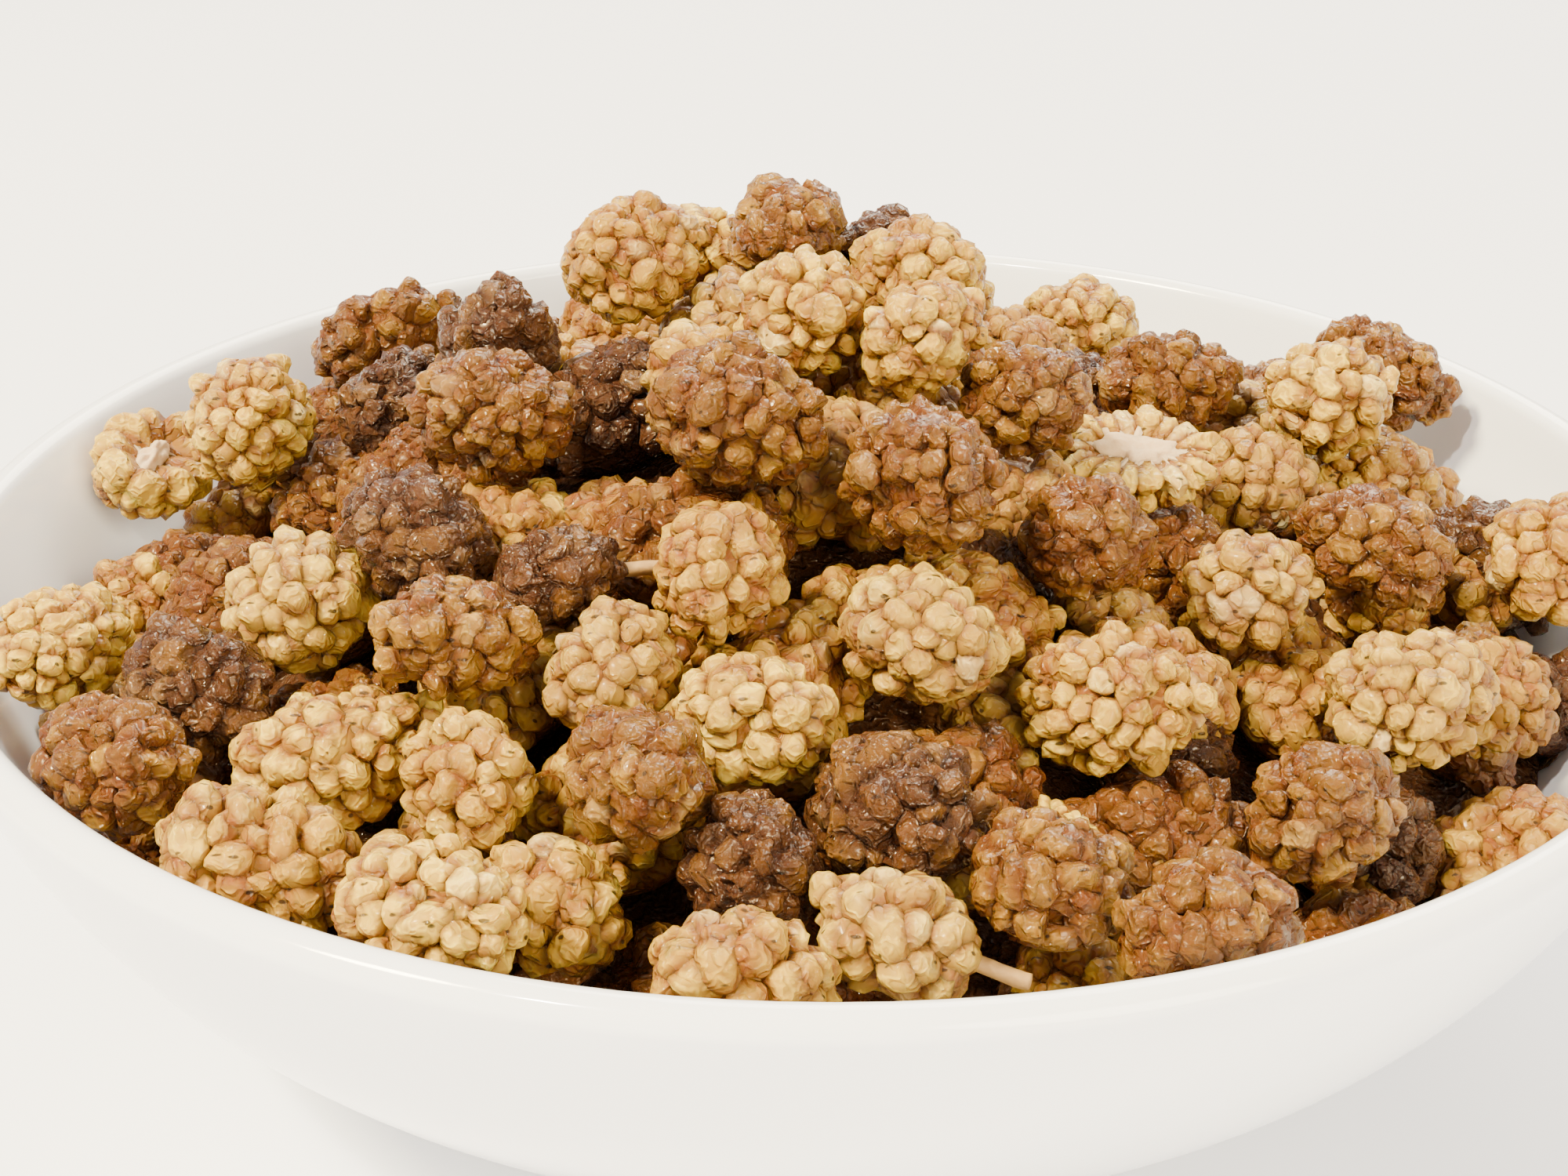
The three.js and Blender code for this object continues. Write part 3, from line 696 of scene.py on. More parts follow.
def drupelet_skins(middles, axes, radii, count, random, form, taper=1):
    """Points of the skin of each drupelet, a sac with its crown out of the fruit that dried lumpy, with
    flats and hollows, and the triangles between them. Its root is the taper times as wide as its crown."""
    directions, faces = sphere(count, CROWN_SHARE)
    number = len(middles)
    reach = np.ones((number, count))
    for _ in range(FLATS):
        flat = random.normal(0, FLAT_SPREAD, (number, 3)) + FLAT_LEAN
        flat /= np.linalg.norm(flat, axis=1, keepdims=True)
        facing = np.maximum(flat @ directions.T, FLAT_EDGE)
        distance = random.uniform(*form["pressed"], (number, 1))
        hollow = random.uniform(*form["hollow"], (number, 1))
        reach = np.minimum(reach, distance / facing ** hollow)
    local = directions * reach[:, :, None]
    spots = (local + random.uniform(0, LUMP_DRIFT, (number, 1, 3))).reshape(-1, 3)
    lumps = noise(spots, LUMP_SIZES[0], seed=1) + 0.5 * noise(spots, LUMP_SIZES[1], seed=4)
    local = local * (1 + form["lump"] * lumps.reshape(number, count))[:, :, None]
    local[:, :, :2] *= (taper + (1 - taper) * np.clip(directions[:, 2] + ROOT_DEPTH, 0, 1))[None, :, None]
    offset = np.einsum("nmi,nij->nmj", local * radii[:, None], axes)
    points = (middles[:, None] + offset).reshape(-1, 3)
    away = offset.reshape(-1, 3) / np.linalg.norm(offset.reshape(-1, 3), axis=1, keepdims=True)
    place = points + random.uniform(0, FOLD_DRIFT, 3)
    ridges = 1 - 2 * np.abs(noise(place, FOLD_SIZES[0], seed=2)) + 0.5 * noise(place, FOLD_SIZES[1], seed=3)
    points = points + away * (form["fold"] * MM * ridges)[:, None]
    return points, (faces + np.arange(number)[:, None, None] * count).reshape(-1, 3)


def crown_of(points, owner, middles, axes, radii):
    """0 in the crease against a neighbour and 1 well clear of it, for each point of a drupelet's skin: the
    mask of the painted crease shade.
    """
    frames = axes / radii[:, :, None]
    start = np.einsum("kij,kj->ki", frames, middles)
    far = np.einsum("kij,nj->nki", frames, points) - start
    far = np.sqrt((far ** 2).sum(axis=2))
    far[np.arange(len(points)), owner] = OUT_OF_REACH
    return np.clip((far.min(axis=1) - 1) / CREASE_REACH, 0, 1)


def joined(parts):
    """One set of points, faces and marks from several."""
    starts = np.cumsum([0] + [len(points) for points, _, _ in parts])
    points = np.vstack([points for points, _, _ in parts])
    faces = np.vstack([faces + start for (_, faces, _), start in zip(parts, starts)])
    marks = {label: np.concatenate([marks[label] for _, _, marks in parts]) for label in parts[0][2]}
    return points, faces, marks


@functools.cache
def packed_tree():
    """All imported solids, to see what they cover."""
    points, faces = [], []
    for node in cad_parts.values():
        start = len(points)
        points += [vert.co for vert in node.data.vertices]
        faces += [[start + i for i in face.vertices] for face in node.data.polygons]
    return BVHTree.FromPolygons(points, faces)


# Directions from which the bowl is seen: those of so many all round that point down no more than
# LOWEST_WAY. A crown that turns its side to one of them still shows, down to the cosine SIDEWAYS. The look
# starts clear of the skin, so that the crown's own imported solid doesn't hide it.
SEEN_WAYS = 26
LOWEST_WAY = -0.15
SEEN_FROM = [Vector(way) for way in sphere(SEEN_WAYS)[0] if way[2] > LOWEST_WAY]
SIDEWAYS = -0.05
CLEAR_OF_SKIN = 1.2 * MM


def exposed(crowns, outward):
    """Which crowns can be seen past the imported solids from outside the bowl."""
    tree = packed_tree()
    shown = []
    for crown, out in zip(crowns, outward):
        eye, out = Vector(crown + CLEAR_OF_SKIN * out), Vector(out)
        shown.append(any(way @ out > SIDEWAYS and tree.ray_cast(eye, way)[0] is None for way in SEEN_FROM))
    return np.array(shown)


# The flesh between the drupelets: its mesh points, how closely it follows their levels, how deep it lies
# under their crowns, in drupelet radii, and its tone among theirs.
FLESH_POINTS = 110
FLESH_FOLLOWS = 14
FLESH_DEPTH = 0.95
MIDDLE_TONE = 0.5


def whole_mulberry(half_sizes, sites, level, random, look, place, counts):
    """Points, faces and marks of a mulberry: its drupelets, each a sac of its own, and the flesh between
    them. place is its middle and the matrix that turns its long axis from X. The drupelets that show get the
    first count of points, and those that are covered get the second, or are left out where that is 0."""
    form = FORMS[look]
    middles, axes, radii = drupelets_on(half_sizes, sites, level, random, form)
    middle, turn = place
    tone = random.uniform(0, 1, len(sites))
    ripe = random.uniform(0, 1)
    shown = exposed((middles + axes[:, 2] * radii[:, 2:]) @ turn.T + middle, axes[:, 2] @ turn.T)
    parts = []
    for which, count in ((np.flatnonzero(shown), counts[0]), (np.flatnonzero(~shown), counts[1])):
        if count == 0 or len(which) == 0:
            continue
        points, faces = drupelet_skins(middles[which], axes[which], radii[which], count, random, form)
        owner = np.repeat(which, count)
        crown = crown_of(points, owner, middles, axes, radii)
        parts.append((points, faces, {"drupelet": tone[owner], "crown": crown}))
    directions, faces = sphere(FLESH_POINTS)
    near = np.exp(FLESH_FOLLOWS * (directions @ sites.T - 1))
    reach = (near @ level / near.sum(axis=1))[:, None] * half_sizes - FLESH_DEPTH * radii.mean()
    # Painted shade: the flesh between the drupelets takes the full crease shade, as it shows only deep in the
    # chinks.
    parts.append((directions * reach, faces, {
        "drupelet": np.full(FLESH_POINTS, MIDDLE_TONE), "crown": np.zeros(FLESH_POINTS),
    }))
    points, faces, marks = joined(parts)
    marks["ripe"] = np.full(len(points), ripe)
    return points @ turn.T + middle, faces, marks


LEVEL_LIMITS = (0.8, 1.12)


def levels_of(node, middle, half_sizes, axes, sites):
    """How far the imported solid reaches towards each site, as a share of its ellipsoid, within limits that
    keep a stem from counting."""
    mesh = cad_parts[node].data
    points = [vert.co for vert in mesh.vertices]
    tree = BVHTree.FromPolygons(points, [face.vertices for face in mesh.polygons])
    reaches = (sites * half_sizes) @ axes.T
    lengths = np.linalg.norm(reaches, axis=1)
    hits = [tree.ray_cast(Vector(middle), Vector(reach))[3] for reach in reaches]
    return np.clip(np.array(hits) / lengths, *LEVEL_LIMITS)


# A dried stalk has three blunt ribs, which twist a little from one step along it to the next.
STALK_RIBS = 3
RIB_HEIGHT = 0.12
RIB_TWIST = 0.4
STALK_SPREAD = (0.94, 1.06)


def tube(line, radius, sides, random):
    """Points and faces of a stalk round a line, closed at both ends, a little uneven."""
    line = np.array(line)
    tangents = np.gradient(line, axis=0)
    tangents /= np.linalg.norm(tangents, axis=1, keepdims=True)
    side = np.cross(tangents[0], (0.3, 0.2, 1.0))
    points = []
    for i, (place, tangent) in enumerate(zip(line, tangents)):
        side = side - tangent * (side @ tangent)
        side /= np.linalg.norm(side)
        across = np.cross(tangent, side)
        for corner in range(sides):
            turn = 2 * math.pi * corner / sides
            rib = 1 + RIB_HEIGHT * math.cos(STALK_RIBS * turn + RIB_TWIST * i)
            out = radius * rib * random.uniform(*STALK_SPREAD)
            points.append(place + out * (math.cos(turn) * side + math.sin(turn) * across))
    faces = []
    for i in range(len(line) - 1):
        for corner in range(sides):
            following = (corner + 1) % sides
            lower, upper = i * sides, (i + 1) * sides
            faces.append((lower + corner, lower + following, upper + following, upper + corner))
    faces.append(tuple(reversed(range(sides))))
    faces.append(tuple(range((len(line) - 1) * sides, len(line) * sides)))
    return np.array(points), faces


# What lies further out than this, in the fruit's own half sizes, is its stem.
STEM_FROM = 1.3
# Points that agree to so many decimals of a metre are one.
SAME_PLACE = 6


def stem_line(node, middle, half_sizes, axes):
    """The middle line of a packed stem, from its root in the fruit to its tip."""
    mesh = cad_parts[node].data
    points = np.array([vert.co for vert in mesh.vertices])
    outside = np.linalg.norm((points - middle) @ axes / half_sizes, axis=1) > STEM_FROM
    neighbours = {i: set() for i in range(len(points))}
    places = {}
    for i, point in enumerate(points):
        places.setdefault(tuple(np.round(point, SAME_PLACE)), i)
    same = [places[tuple(np.round(point, SAME_PLACE))] for point in points]
    for edge in mesh.edges:
        one, other = (same[i] for i in edge.vertices)
        neighbours[one].add(other)
        neighbours[other].add(one)
    stem = {same[i] for i in np.flatnonzero(outside)}
    level = {i for i in stem if neighbours[i] - stem}
    seen = set()
    line = []
    while level:
        line.append(points[sorted(level)].mean(axis=0))
        seen |= level
        level = {j for i in level for j in neighbours[i] if j in stem} - seen
    return line


def smooth_line(line, steps):
    """A smooth curve through the line's points."""
    line = np.array(line)
    ends = np.vstack([2 * line[0] - line[1], line, 2 * line[-1] - line[-2]])
    curve = []
    for i in range(len(line) - 1):
        p0, p1, p2, p3 = ends[i:i + 4]
        for t in np.arange(steps) / steps:
            curve.append(0.5 * (
                2 * p1 + (p2 - p0) * t + (2 * p0 - 5 * p1 + 4 * p2 - p3) * t ** 2
                + (3 * p1 - p0 - 3 * p2 + p3) * t ** 3
            ))
    curve.append(line[-1])
    return curve


# How each split mulberry opened: the number of long drupelets that fan out round its bare middle, and how
# far that middle reaches along and across, as shares of the fruit's half sizes.
SPLIT = {
    "straw_mulberry_10": {"petals": 9, "pith": (0.26, 0.06)},
    "straw_mulberry_12": {"petals": 15, "pith": (0.12, 0.1)},
    "straw_mulberry_39": {"petals": 18, "pith": (0.38, 0.08)},
}
PITH_FORM = {"pressed": (1.5, 2.0), "hollow": (1.0, 1.0), "lump": 0.45, "fold": 0.4}
# The cut faces lean this far to the front, and a split fruit spreads this much wider than its solid.
CUT_TILT = math.radians(24)
SPLIT_SPREAD = 1.06
# The drupelets that the fruit would have whole. The cut took those of its upper half.
WHOLE_SITES = 84
# Its long drupelets: how unevenly they stand round it, how far out they end in its half width, and how high
# over the cut in its half depth.
PETAL_SPREAD = (-0.15, 0.15)
PETAL_REACH = (0.94, 1.06)
PETAL_LIFT = (-0.05, 0.3)
# Their half sizes across and through as shares of their width and along as a share of their length, how high
# their middles lie in the fruit's half depth, and how wide they start against how wide they end.
PETAL_SIZE = (0.56, 0.5, 0.52)
PETAL_HEIGHT = 0.1
PETAL_TAPER = 0.45
# The fibres between them: their half width, their half length as a share of the drupelets', and where they
# lie, along and aside as shares of the drupelet's length and width, and up as a share of the half depth.
STRAND_RADIUS = 0.28 * MM
STRAND_LENGTH = 0.34
STRAND_ALONG = 0.22
STRAND_ASIDE = 0.3
STRAND_HEIGHT = 0.2
# The pith goes this much further along and across than its share, and lies at this height and as deep.
PITH_MARGIN = (1 * MM, 0.8 * MM)
PITH_HEIGHT = 0.12
PITH_DEPTH = 0.42
# The split ones are pale inside: their drupelets' least tone, and how ripe they are.
SPLIT_TONE = 0.3
SPLIT_RIPE = 0.2


def split_mulberry(half_sizes, random, ways, points):
    """Points, faces and marks of a mulberry split lengthwise, cut side up: long drupelets fan out round its
    bare middle, over the rounded half of the fruit. Z is out of the cut. Then which faces are bare pith."""
    long, wide, deep = half_sizes
    form = FORMS["straw"]
    sites = even_sites(WHOLE_SITES, random)
    middles, axes, radii = drupelets_on(half_sizes, sites, np.ones(WHOLE_SITES), random, form)
    low = middles[:, 2] < 0
    under = middles[low], axes[low], radii[low]

    count = ways["petals"]
    turn = 2 * math.pi * (np.arange(count) + random.uniform(*PETAL_SPREAD, count)) / count
    ring = np.stack([np.cos(turn), np.sin(turn), np.zeros(count)], axis=1)
    inner = ring * (long * ways["pith"][0], wide * ways["pith"][1], 0)
    outer = ring * (long, wide, 0) * random.uniform(*PETAL_REACH, (count, 1))
    outer[:, 2] = random.uniform(*PETAL_LIFT, count) * deep
    length = np.linalg.norm(outer - inner, axis=1, keepdims=True)
    out = (outer - inner) / length
    side = np.cross((0, 0, 1), out)
    side /= np.linalg.norm(side, axis=1, keepdims=True)
    between = np.roll(outer, 1, axis=0) - np.roll(outer, -1, axis=0)
    width = 0.5 * np.linalg.norm(between, axis=1, keepdims=True)
    fan_axes = np.stack([side, np.cross(out, side), out], axis=1)
    fan_radii = np.hstack([PETAL_SIZE[0] * width, PETAL_SIZE[1] * width, PETAL_SIZE[2] * length])
    fan = (inner + outer) / 2 + (0, 0, PETAL_HEIGHT * deep), fan_axes, fan_radii

    strand_middles = inner + STRAND_ALONG * (outer - inner) + (0, 0, STRAND_HEIGHT * deep)
    strand_middles = strand_middles + STRAND_ASIDE * width * side
    strand_radii = np.hstack([np.full((count, 2), STRAND_RADIUS), STRAND_LENGTH * length])
    strands = strand_middles, fan_axes, strand_radii
    pith_length = long * ways["pith"][0] + PITH_MARGIN[0]
    pith_width = wide * ways["pith"][1] + PITH_MARGIN[1]
    pith_radii = np.array([[pith_length, pith_width, PITH_DEPTH * deep]])
    pith = np.array([[0, 0, PITH_HEIGHT * deep]]), np.eye(3)[None], pith_radii

    parts = []
    for (places, turns, sizes), number, ways_dried, taper in (
        (under, points // 2, form, 1), (fan, 3 * points, form, PETAL_TAPER),
        (strands, points // 2, PITH_FORM, 1), (pith, 8 * points, PITH_FORM, 1),
    ):
        skin, faces = drupelet_skins(places, turns, sizes, number, random, ways_dried, taper)
        owner = np.repeat(np.arange(len(places)), number)
        crown = np.ones(len(skin))
        if len(places) > 1:
            crown = crown_of(skin, owner, places, turns, sizes)
        tone = random.uniform(SPLIT_TONE, 1, len(places))[owner]
        parts.append((skin, faces, {"drupelet": tone, "crown": crown}))
    bare = np.repeat([0, 0, 1, 1], [len(part[1]) for part in parts])
    skin, faces, marks = joined(parts)
    marks["ripe"] = np.full(len(skin), SPLIT_RIPE)
    return skin, faces, marks, bare


# The nodes that kept a stem, its radius, how far out from the fruit's middle its root starts, and the steps
# and sides of its mesh.
STEMMED = ("cream_mulberry_03", "brown_mulberry_37", "amber_mulberry_53")
STEM_RADIUS = 0.6 * MM
STEM_ROOT = 0.55
STEM_STEPS = 4
STEM_SIDES = 10


def loose_nodes():
    return sorted(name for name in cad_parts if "_mulberry_" in name)


def look_of(node):
    return node.split("_")[0]


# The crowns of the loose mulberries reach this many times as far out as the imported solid's skin.
CROWN_OUT = 1.08


def sites_on(half_sizes, spacing, random):
    """Places on a unit sphere for the drupelets of a fruit of that size, about the spacing apart."""
    a, b, c = half_sizes
    area = 4 * math.pi * (a * b + a * c + b * c) / 3
    return even_sites(int(area / (spacing * random.uniform(*SPACING_SPREAD)) ** 2), random)


# The loose, split and bed mulberries draw from these seeds, apart from the places of the bed's.
LOOSE_SEED = 100
SPLIT_SEED = 300
BED_SEED = 77
# Steps along the bowl's wall, over its rim and round it.
BOWL_STEPS = 30
RIM_STEPS = 12
BOWL_SIDES = 144
# The foot ring's corners are eased over this much.
FOOT_EDGE = 0.5 * MM


class MULBERRY_OT_bowl(bpy.types.Operator):
    """Make the smooth glazed bowl on its foot ring"""

    bl_idname = "mulberry.bowl"
    bl_label = "Bowl"

    def execute(self, context):
        bowl = context.scene.bowl_settings
        angles = np.linspace(WALL_START, WALL_END, BOWL_STEPS)
        outside = [wall_point(bowl, angle, 0) for angle in angles]
        inside = [wall_point(bowl, angle, bowl.wall) for angle in reversed(angles)]
        under = wall_point(bowl, WALL_START, bowl.wall).y - bowl.floor
        inner_foot = bowl.foot_radius - bowl.foot_width
        edge = FOOT_EDGE
        foot = [
            (0, under), (inner_foot - 1.5 * edge, under), (inner_foot - edge, under - edge),
            (inner_foot - 0.4 * edge, 0.4 * edge), (inner_foot + 0.4 * edge, 0),
            (bowl.foot_radius - edge, 0), (bowl.foot_radius - 0.3 * edge, 0.3 * edge),
            (bowl.foot_radius, edge),
        ]
        middle = wall_point(bowl, WALL_END, bowl.wall / 2)
        outward = outside[-1] - middle
        onward = Vector((-outward.y, outward.x))
        rim_turns = np.linspace(0, math.pi, RIM_STEPS)[1:-1]
        rim = [middle + math.cos(turn) * outward + math.sin(turn) * onward for turn in rim_turns]
        floor = [(inside[-1].x * share, inside[-1].y) for share in (0.8, 0.4)]
        profile = [*foot, *outside, *rim, *inside, *floor, (0, inside[-1].y)]
        points, faces = turned(profile, BOWL_SIDES)
        piece = make_piece("porcelain_bowl", points, faces, [glazed_porcelain(bowl)])
        stand_for(piece, "glazed_porcelain", "bowl")
        return {"FINISHED"}


class MULBERRY_OT_loose(bpy.types.Operator):
    """Make each whole mulberry of the top layer where its solid lies"""

    bl_idname = "mulberry.loose"
    bl_label = "Loose mulberries"

    def execute(self, context):
        berry = context.scene.mulberry_settings
        for number, node in enumerate(loose_nodes()):
            if node in SPLIT:
                continue
            random = np.random.default_rng(LOOSE_SEED + number)
            middle, half_sizes, axes = body_of(node)
            look = look_of(node)
            sites = sites_on(half_sizes, berry.spacing, random)
            level = CROWN_OUT * levels_of(node, middle, half_sizes, axes, sites)
            points, faces, marks = whole_mulberry(
                half_sizes, sites, level, random, look, (middle, axes), (berry.points, berry.hidden_points),
            )
            materials = [mulberry_flesh(look)]
            faces = faces.tolist()
            face_material = np.zeros(len(faces), int)
            if node in STEMMED:
                line = stem_line(node, middle, half_sizes, axes)
                root = middle + STEM_ROOT * (line[0] - middle)
                line = smooth_line([root, *line], STEM_STEPS)
                stalk, stalk_faces = tube(line, STEM_RADIUS, STEM_SIDES, random)
                faces += [tuple(i + len(points) for i in face) for face in stalk_faces]
                face_material = np.append(face_material, np.ones(len(stalk_faces), int))
                marks = {label: np.append(values, np.ones(len(stalk))) for label, values in marks.items()}
                points = np.vstack([points, stalk])
                materials.append(mulberry_stem())
            piece = make_piece(f"dried_{node}", points, faces, materials, face_material, marks)
            stand_for(piece, f"mulberry_{look}", node)
        return {"FINISHED"}


class MULBERRY_OT_split(bpy.types.Operator):
    """Make the split mulberries, with their bare middle and the long drupelets round it"""

    bl_idname = "mulberry.split"
    bl_label = "Split mulberries"

    def execute(self, context):
        berry = context.scene.mulberry_settings
        for number, node in enumerate(SPLIT):
            random = np.random.default_rng(SPLIT_SEED + number)
            middle, half_sizes, axes = body_of(node)
            if axes[2, 2] < 0:
                axes = axes * np.array([1, -1, -1])
            axes = np.array(Matrix.Rotation(CUT_TILT, 3, "X")) @ axes
            spread = SPLIT_SPREAD * half_sizes
            skin, faces, marks, bare = split_mulberry(spread, random, SPLIT[node], berry.points)
            points = skin @ axes.T + middle
            materials = [mulberry_flesh(look_of(node)), mulberry_pith()]
            piece = make_piece(f"dried_{node}", points, faces, materials, bare, marks)
            stand_for(piece, f"mulberry_{look_of(node)}", node)
        return {"FINISHED"}


# The bed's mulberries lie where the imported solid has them, from the seed that placed those. Their middles
# stand this far over its surface.
PLACE_SEED = 11
BED_COUNT = 62
BED_REACH = 69 * MM
BED_LENGTH = (16 * MM, 19 * MM)
BED_WIDTH = (13.5 * MM, 15 * MM)
BED_PROUD = 1 * MM
# The fillers' spiral across the bowl and their sizes in mm.
FILLER_REACH = 73 * MM
FILLER_TURN = 1.1
FILLER_LENGTH = (12, 16)
FILLER_WIDTH = (10.5, 12.5)
# How thick a mulberry of the bed is against its width, the share of them with each look, how much of their
# crowns' clear tone they keep under the painted shade of the heap's lower layer, and in how many pieces they
# are made.
BED_THICKNESS = 0.94
BED_SHARES = {"straw": 0.34, "cream": 0.16, "amber": 0.36, "brown": 0.14}
BED_SHADED_CROWN = 0.74
BED_PIECES = 3
# The core: how deep it lies under the bed's surface, how high the soft lumps on it are and their sizes, its
# radius before the wall presses it in, its rings and the points of each, its levels from there down to the
# bowl's floor, its tone, how far that changes with the lumps, and how far it is out of the painted crease
# shade.
CORE_DEPTH = 4.5 * MM
CORE_LUMP = 0.6 * MM
CORE_LUMP_SIZES = (2.4 * MM, 1.2 * MM)
CORE_REACH = 78 * MM
CORE_RINGS = 44
CORE_STEPS = 150
CORE_LEVELS = 4
CORE_TONE = 0.3
CORE_TONE_SPREAD = 0.2
CORE_CROWN = 0.6


def bed_places(bowl):
    """The mulberries that stand half out of the bed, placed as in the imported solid."""
    draw = seeded(PLACE_SEED)
    for x, y in spiral(BED_COUNT, BED_REACH):
        length = BED_LENGTH[0] + (BED_LENGTH[1] - BED_LENGTH[0]) * next(draw)
        width = BED_WIDTH[0] + (BED_WIDTH[1] - BED_WIDTH[0]) * next(draw)
        heading = 2 * math.pi * next(draw)
        yield Vector((x, y, heap_height(bowl, x, y) + BED_PROUD)), length, width, heading


def filler_places(bowl, bed, random):
    """Deeper mulberries that show in the gaps between those of the bed."""
    for x, y in spiral(bed.fill_count, FILLER_REACH, turn=FILLER_TURN):
        place = Vector((x, y, heap_height(bowl, x, y) - bed.fill_depth))
        length = random.uniform(*FILLER_LENGTH) * MM
        width = random.uniform(*FILLER_WIDTH) * MM
        yield place, length, width, random.uniform(0, 2 * math.pi)


class MULBERRY_OT_bed(bpy.types.Operator):
    """Make the pressed lower layers: mulberries half out of them, deeper ones, and the core in the gaps"""

    bl_idname = "mulberry.bed"
    bl_label = "Bed of mulberries"

    def execute(self, context):
        bowl = context.scene.bowl_settings
        bed = context.scene.bed_settings
        random = np.random.default_rng(BED_SEED)
        looks = list(BED_SHARES)
        materials = [mulberry_flesh(look) for look in looks]
        sectors = [[] for _ in range(BED_PIECES)]
        for place, length, width, heading in (*bed_places(bowl), *filler_places(bowl, bed, random)):
            half_sizes = np.array([length, width, BED_THICKNESS * width]) / 2
            sites = sites_on(half_sizes, bed.spacing, random)
            look = random.choice(len(looks), p=list(BED_SHARES.values()))
            lean = Vector((0, 0, 1)).rotation_difference(heap_normal(bowl, place.x, place.y))
            turn = np.array(lean.to_matrix() @ Matrix.Rotation(heading, 3, "Z"))
            points, faces, marks = whole_mulberry(
                half_sizes, sites, dented(sites, random), random, looks[look], (np.array(place), turn),
                (bed.points, 0),
            )
            # Painted shade: the bed lies lower in the heap, so its fruits are drawn riper and browner than
            # the loose ones, and their crowns darker.
            marks["ripe"] = (1 + marks["ripe"]) / 2
            marks["crown"] = BED_SHADED_CROWN * marks["crown"]
            # The wall presses in whatever would reach past it.
            radius = np.hypot(points[:, 0], points[:, 1])
            limit = inner_radius(bowl, points[:, 2])
            points[:, :2] *= np.minimum(1, limit / np.maximum(radius, MM))[:, None]
            round_bowl = (math.atan2(place.y, place.x) + math.pi) / (2 * math.pi)
            fruit = (points, faces, marks), np.full(len(faces), look)
            sectors[int(round_bowl * BED_PIECES) % BED_PIECES].append(fruit)
        for number, fruits in enumerate(sectors, 1):
            points, faces, marks = joined([parts for parts, _ in fruits])
            face_material = np.concatenate([face_looks for _, face_looks in fruits])
            name = f"pressed_mulberries_{number}"
            piece = make_piece(name, points, faces, materials, face_material, marks)
            stand_for(piece, "mulberries_pressed", "mulberry_bed")
        self.add_core(bowl)
        return {"FINISHED"}

    def add_core(self, bowl):
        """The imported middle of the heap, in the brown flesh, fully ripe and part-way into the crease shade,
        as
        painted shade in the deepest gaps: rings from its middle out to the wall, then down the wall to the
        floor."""
        points = [(0, 0, heap_height(bowl, 0.0, 0.0) - CORE_DEPTH)]
        floor_level = wall_point(bowl, WALL_START, bowl.wall + GAP).y
        for ring in range(1, CORE_RINGS + 1):
            for step in range(CORE_STEPS):
                turn = 2 * math.pi * step / CORE_STEPS
                radius = CORE_REACH * ring / CORE_RINGS
                x, y = radius * math.cos(turn), radius * math.sin(turn)
                height = float(heap_height(bowl, x, y)) - CORE_DEPTH
                limit = float(inner_radius(bowl, height))
                share = min(1, limit / radius)
                points.append((x * share, y * share, max(height, floor_level + MM)))
        rim_ring = len(points) - CORE_STEPS
        for level in np.linspace(1 - 1 / CORE_LEVELS, 0, CORE_LEVELS):
            for x, y, rim_height in points[rim_ring:rim_ring + CORE_STEPS]:
                height = floor_level + (rim_height - floor_level) * level
                share = min(1, float(inner_radius(bowl, height)) / math.hypot(x, y))
                points.append((x * share, y * share, height))
        points.append((0, 0, floor_level))
        faces = [(0, 1 + step, 1 + (step + 1) % CORE_STEPS) for step in range(CORE_STEPS)]
        for ring in range(CORE_RINGS + CORE_LEVELS - 1):
            here = 1 + ring * CORE_STEPS
            there = here + CORE_STEPS
            for step in range(CORE_STEPS):
                following = (step + 1) % CORE_STEPS
                faces.append((here + step, there + step, there + following, here + following))
        last = len(points) - 1
        for step in range(CORE_STEPS):
            faces.append((last - CORE_STEPS + step, last, last - CORE_STEPS + (step + 1) % CORE_STEPS))
        points = np.array(points)
        lumps = noise(points, CORE_LUMP_SIZES[0], seed=3) + 0.5 * noise(points, CORE_LUMP_SIZES[1], seed=4)
        points[:, 2] += CORE_LUMP * lumps * (np.arange(len(points)) < rim_ring)
        marks = {
            "drupelet": CORE_TONE + CORE_TONE_SPREAD * lumps,
            "crown": np.full(len(points), CORE_CROWN),
            "ripe": np.ones(len(points)),
        }
        piece = make_piece("heap_core", points, faces, [mulberry_flesh("brown")], 0, marks)
        stand_for(piece, "mulberries_pressed", "mulberry_bed")


# The lamps round the bowl: where each stands and how wide it is in metres, its power in watts, its colour.
LAMPS = {
    "key": {"place": (-0.75, -0.3, 1.1), "size": 0.3, "power": 64, "colour": "#FFEDBC"},
    "glint": {"place": (-0.45, -0.5, 1.0), "size": 0.06, "power": 13, "colour": "#FFF4E4"},
    "fill": {"place": (0.6, -0.95, 0.55), "size": 0.8, "power": 32, "colour": "#FFF0CC"},
    "back": {"place": (0.2, 0.9, 0.8), "size": 0.8, "power": 26, "colour": "#FFF6E0"},
}
LAMP_AIM = (0, 0, 0.04)
ROOM_LIGHT = "#F2EAEC"
ROOM_STRENGTH = 0.9
FLOOR_HALF = 3.0
SENSOR_WIDTH = 36
CLIP_START = 5 * MM


def add_light(name, place, size, power, colour):
    data = bpy.data.lights.new(name, "AREA")
    data.shape = "DISK"
    data.size = size
    data.energy = power
    data.color = linear(colour)
    light = bpy.data.objects.new(name, data)
    light.location = place
    light.rotation_euler = (Vector(LAMP_AIM) - Vector(place)).to_track_quat("-Z", "Y").to_euler()
    bpy.context.scene.collection.objects.link(light)


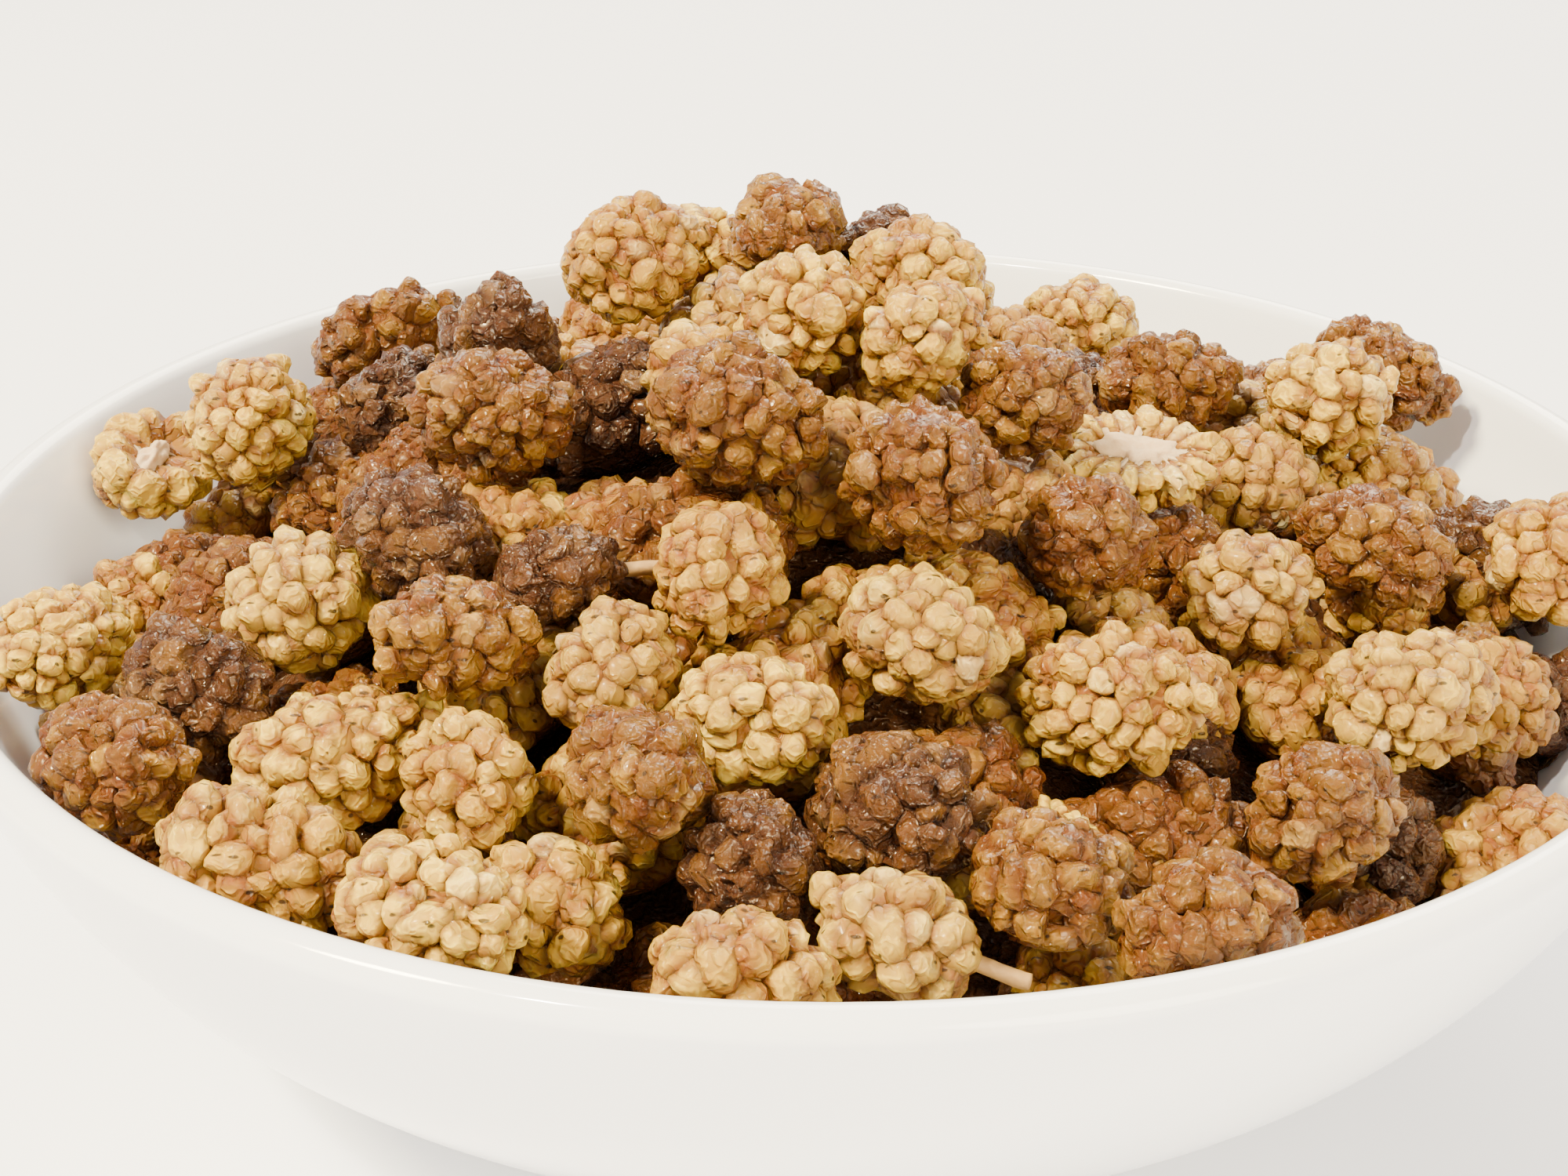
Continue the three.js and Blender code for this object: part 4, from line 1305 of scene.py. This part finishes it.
class MULBERRY_OT_stage(bpy.types.Operator):
    """Make the pale floor, the soft lights and the camera"""

    bl_idname = "mulberry.stage"
    bl_label = "Stage"

    def execute(self, context):
        stage = context.scene.stage_settings
        material, tree = new_material("Paper sweep, matte")
        shader = add_node(tree, "ShaderNodeBsdfPrincipled", {
            "Base Color": rgba(stage.floor), "Roughness": 0.9, "Specular IOR Level": 0.2,
        })
        finish_material(tree, shader)
        half = FLOOR_HALF
        corners = [(-half, -half, 0), (half, -half, 0), (half, half, 0), (-half, half, 0)]
        floor = make_piece("floor", corners, [(0, 1, 2, 3)], [material])
        floor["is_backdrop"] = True

        for name, lamp in LAMPS.items():
            add_light(name, **lamp)

        world = bpy.data.worlds.new("Studio")
        context.scene.world = world
        world.use_nodes = True
        background = world.node_tree.nodes["Background"]
        background.inputs["Color"].default_value = rgba(linear(ROOM_LIGHT))
        background.inputs["Strength"].default_value = ROOM_STRENGTH

        data = bpy.data.cameras.new("camera")
        data.lens = stage.lens
        data.sensor_width = SENSOR_WIDTH
        data.clip_start = CLIP_START
        camera = bpy.data.objects.new("camera", data)
        back = Vector((0, -math.cos(stage.elevation), math.sin(stage.elevation)))
        camera.location = Vector(stage.target) + back * stage.distance
        camera.rotation_mode = "QUATERNION"
        camera.rotation_quaternion = (-back).to_track_quat("-Z", "Y")
        context.scene.collection.objects.link(camera)
        context.scene.camera = camera
        return {"FINISHED"}


class MULBERRY_PT_panel(bpy.types.Panel):
    """Lists the pieces in the order in which they are made"""

    bl_label = "Bowl of Dried Mulberries"
    bl_space_type = "VIEW_3D"
    bl_region_type = "UI"
    bl_category = "Mulberries"

    def draw(self, context):
        for operator in OPERATORS:
            self.layout.operator(operator.bl_idname, text=operator.bl_label)
        for settings, label in SETTINGS.items():
            box = self.layout.box()
            box.label(text=label)
            group = getattr(context.scene, settings)
            for name in group.bl_rna.properties.keys():
                if name not in ("rna_type", "name"):
                    box.prop(group, name)


SETTINGS_GROUPS = (BowlSettings, MulberrySettings, BedSettings, StageSettings)
OPERATORS = (MULBERRY_OT_bowl, MULBERRY_OT_bed, MULBERRY_OT_loose, MULBERRY_OT_split, MULBERRY_OT_stage)
SETTINGS = {
    "bowl_settings": "Bowl",
    "mulberry_settings": "Mulberries",
    "bed_settings": "Bed",
    "stage_settings": "Stage",
}


def register():
    for group in (*SETTINGS_GROUPS, *OPERATORS, MULBERRY_PT_panel):
        bpy.utils.register_class(group)
    for name, group in zip(SETTINGS, SETTINGS_GROUPS):
        setattr(bpy.types.Scene, name, bpy.props.PointerProperty(type=group))


def unregister():
    for name in SETTINGS:
        delattr(bpy.types.Scene, name)
    for group in reversed((*SETTINGS_GROUPS, *OPERATORS, MULBERRY_PT_panel)):
        bpy.utils.unregister_class(group)


def main():
    register()
    bpy.ops.mulberry.bowl()
    bpy.ops.mulberry.bed()
    bpy.ops.mulberry.loose()
    bpy.ops.mulberry.split()
    bpy.ops.mulberry.stage()
    sizes = {"cad": CAD_BOUNDS, "visual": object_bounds()}
    {name: [list(corner) for corner in box] for name, box in sizes.items()}


if __name__ == "__main__":
    main()
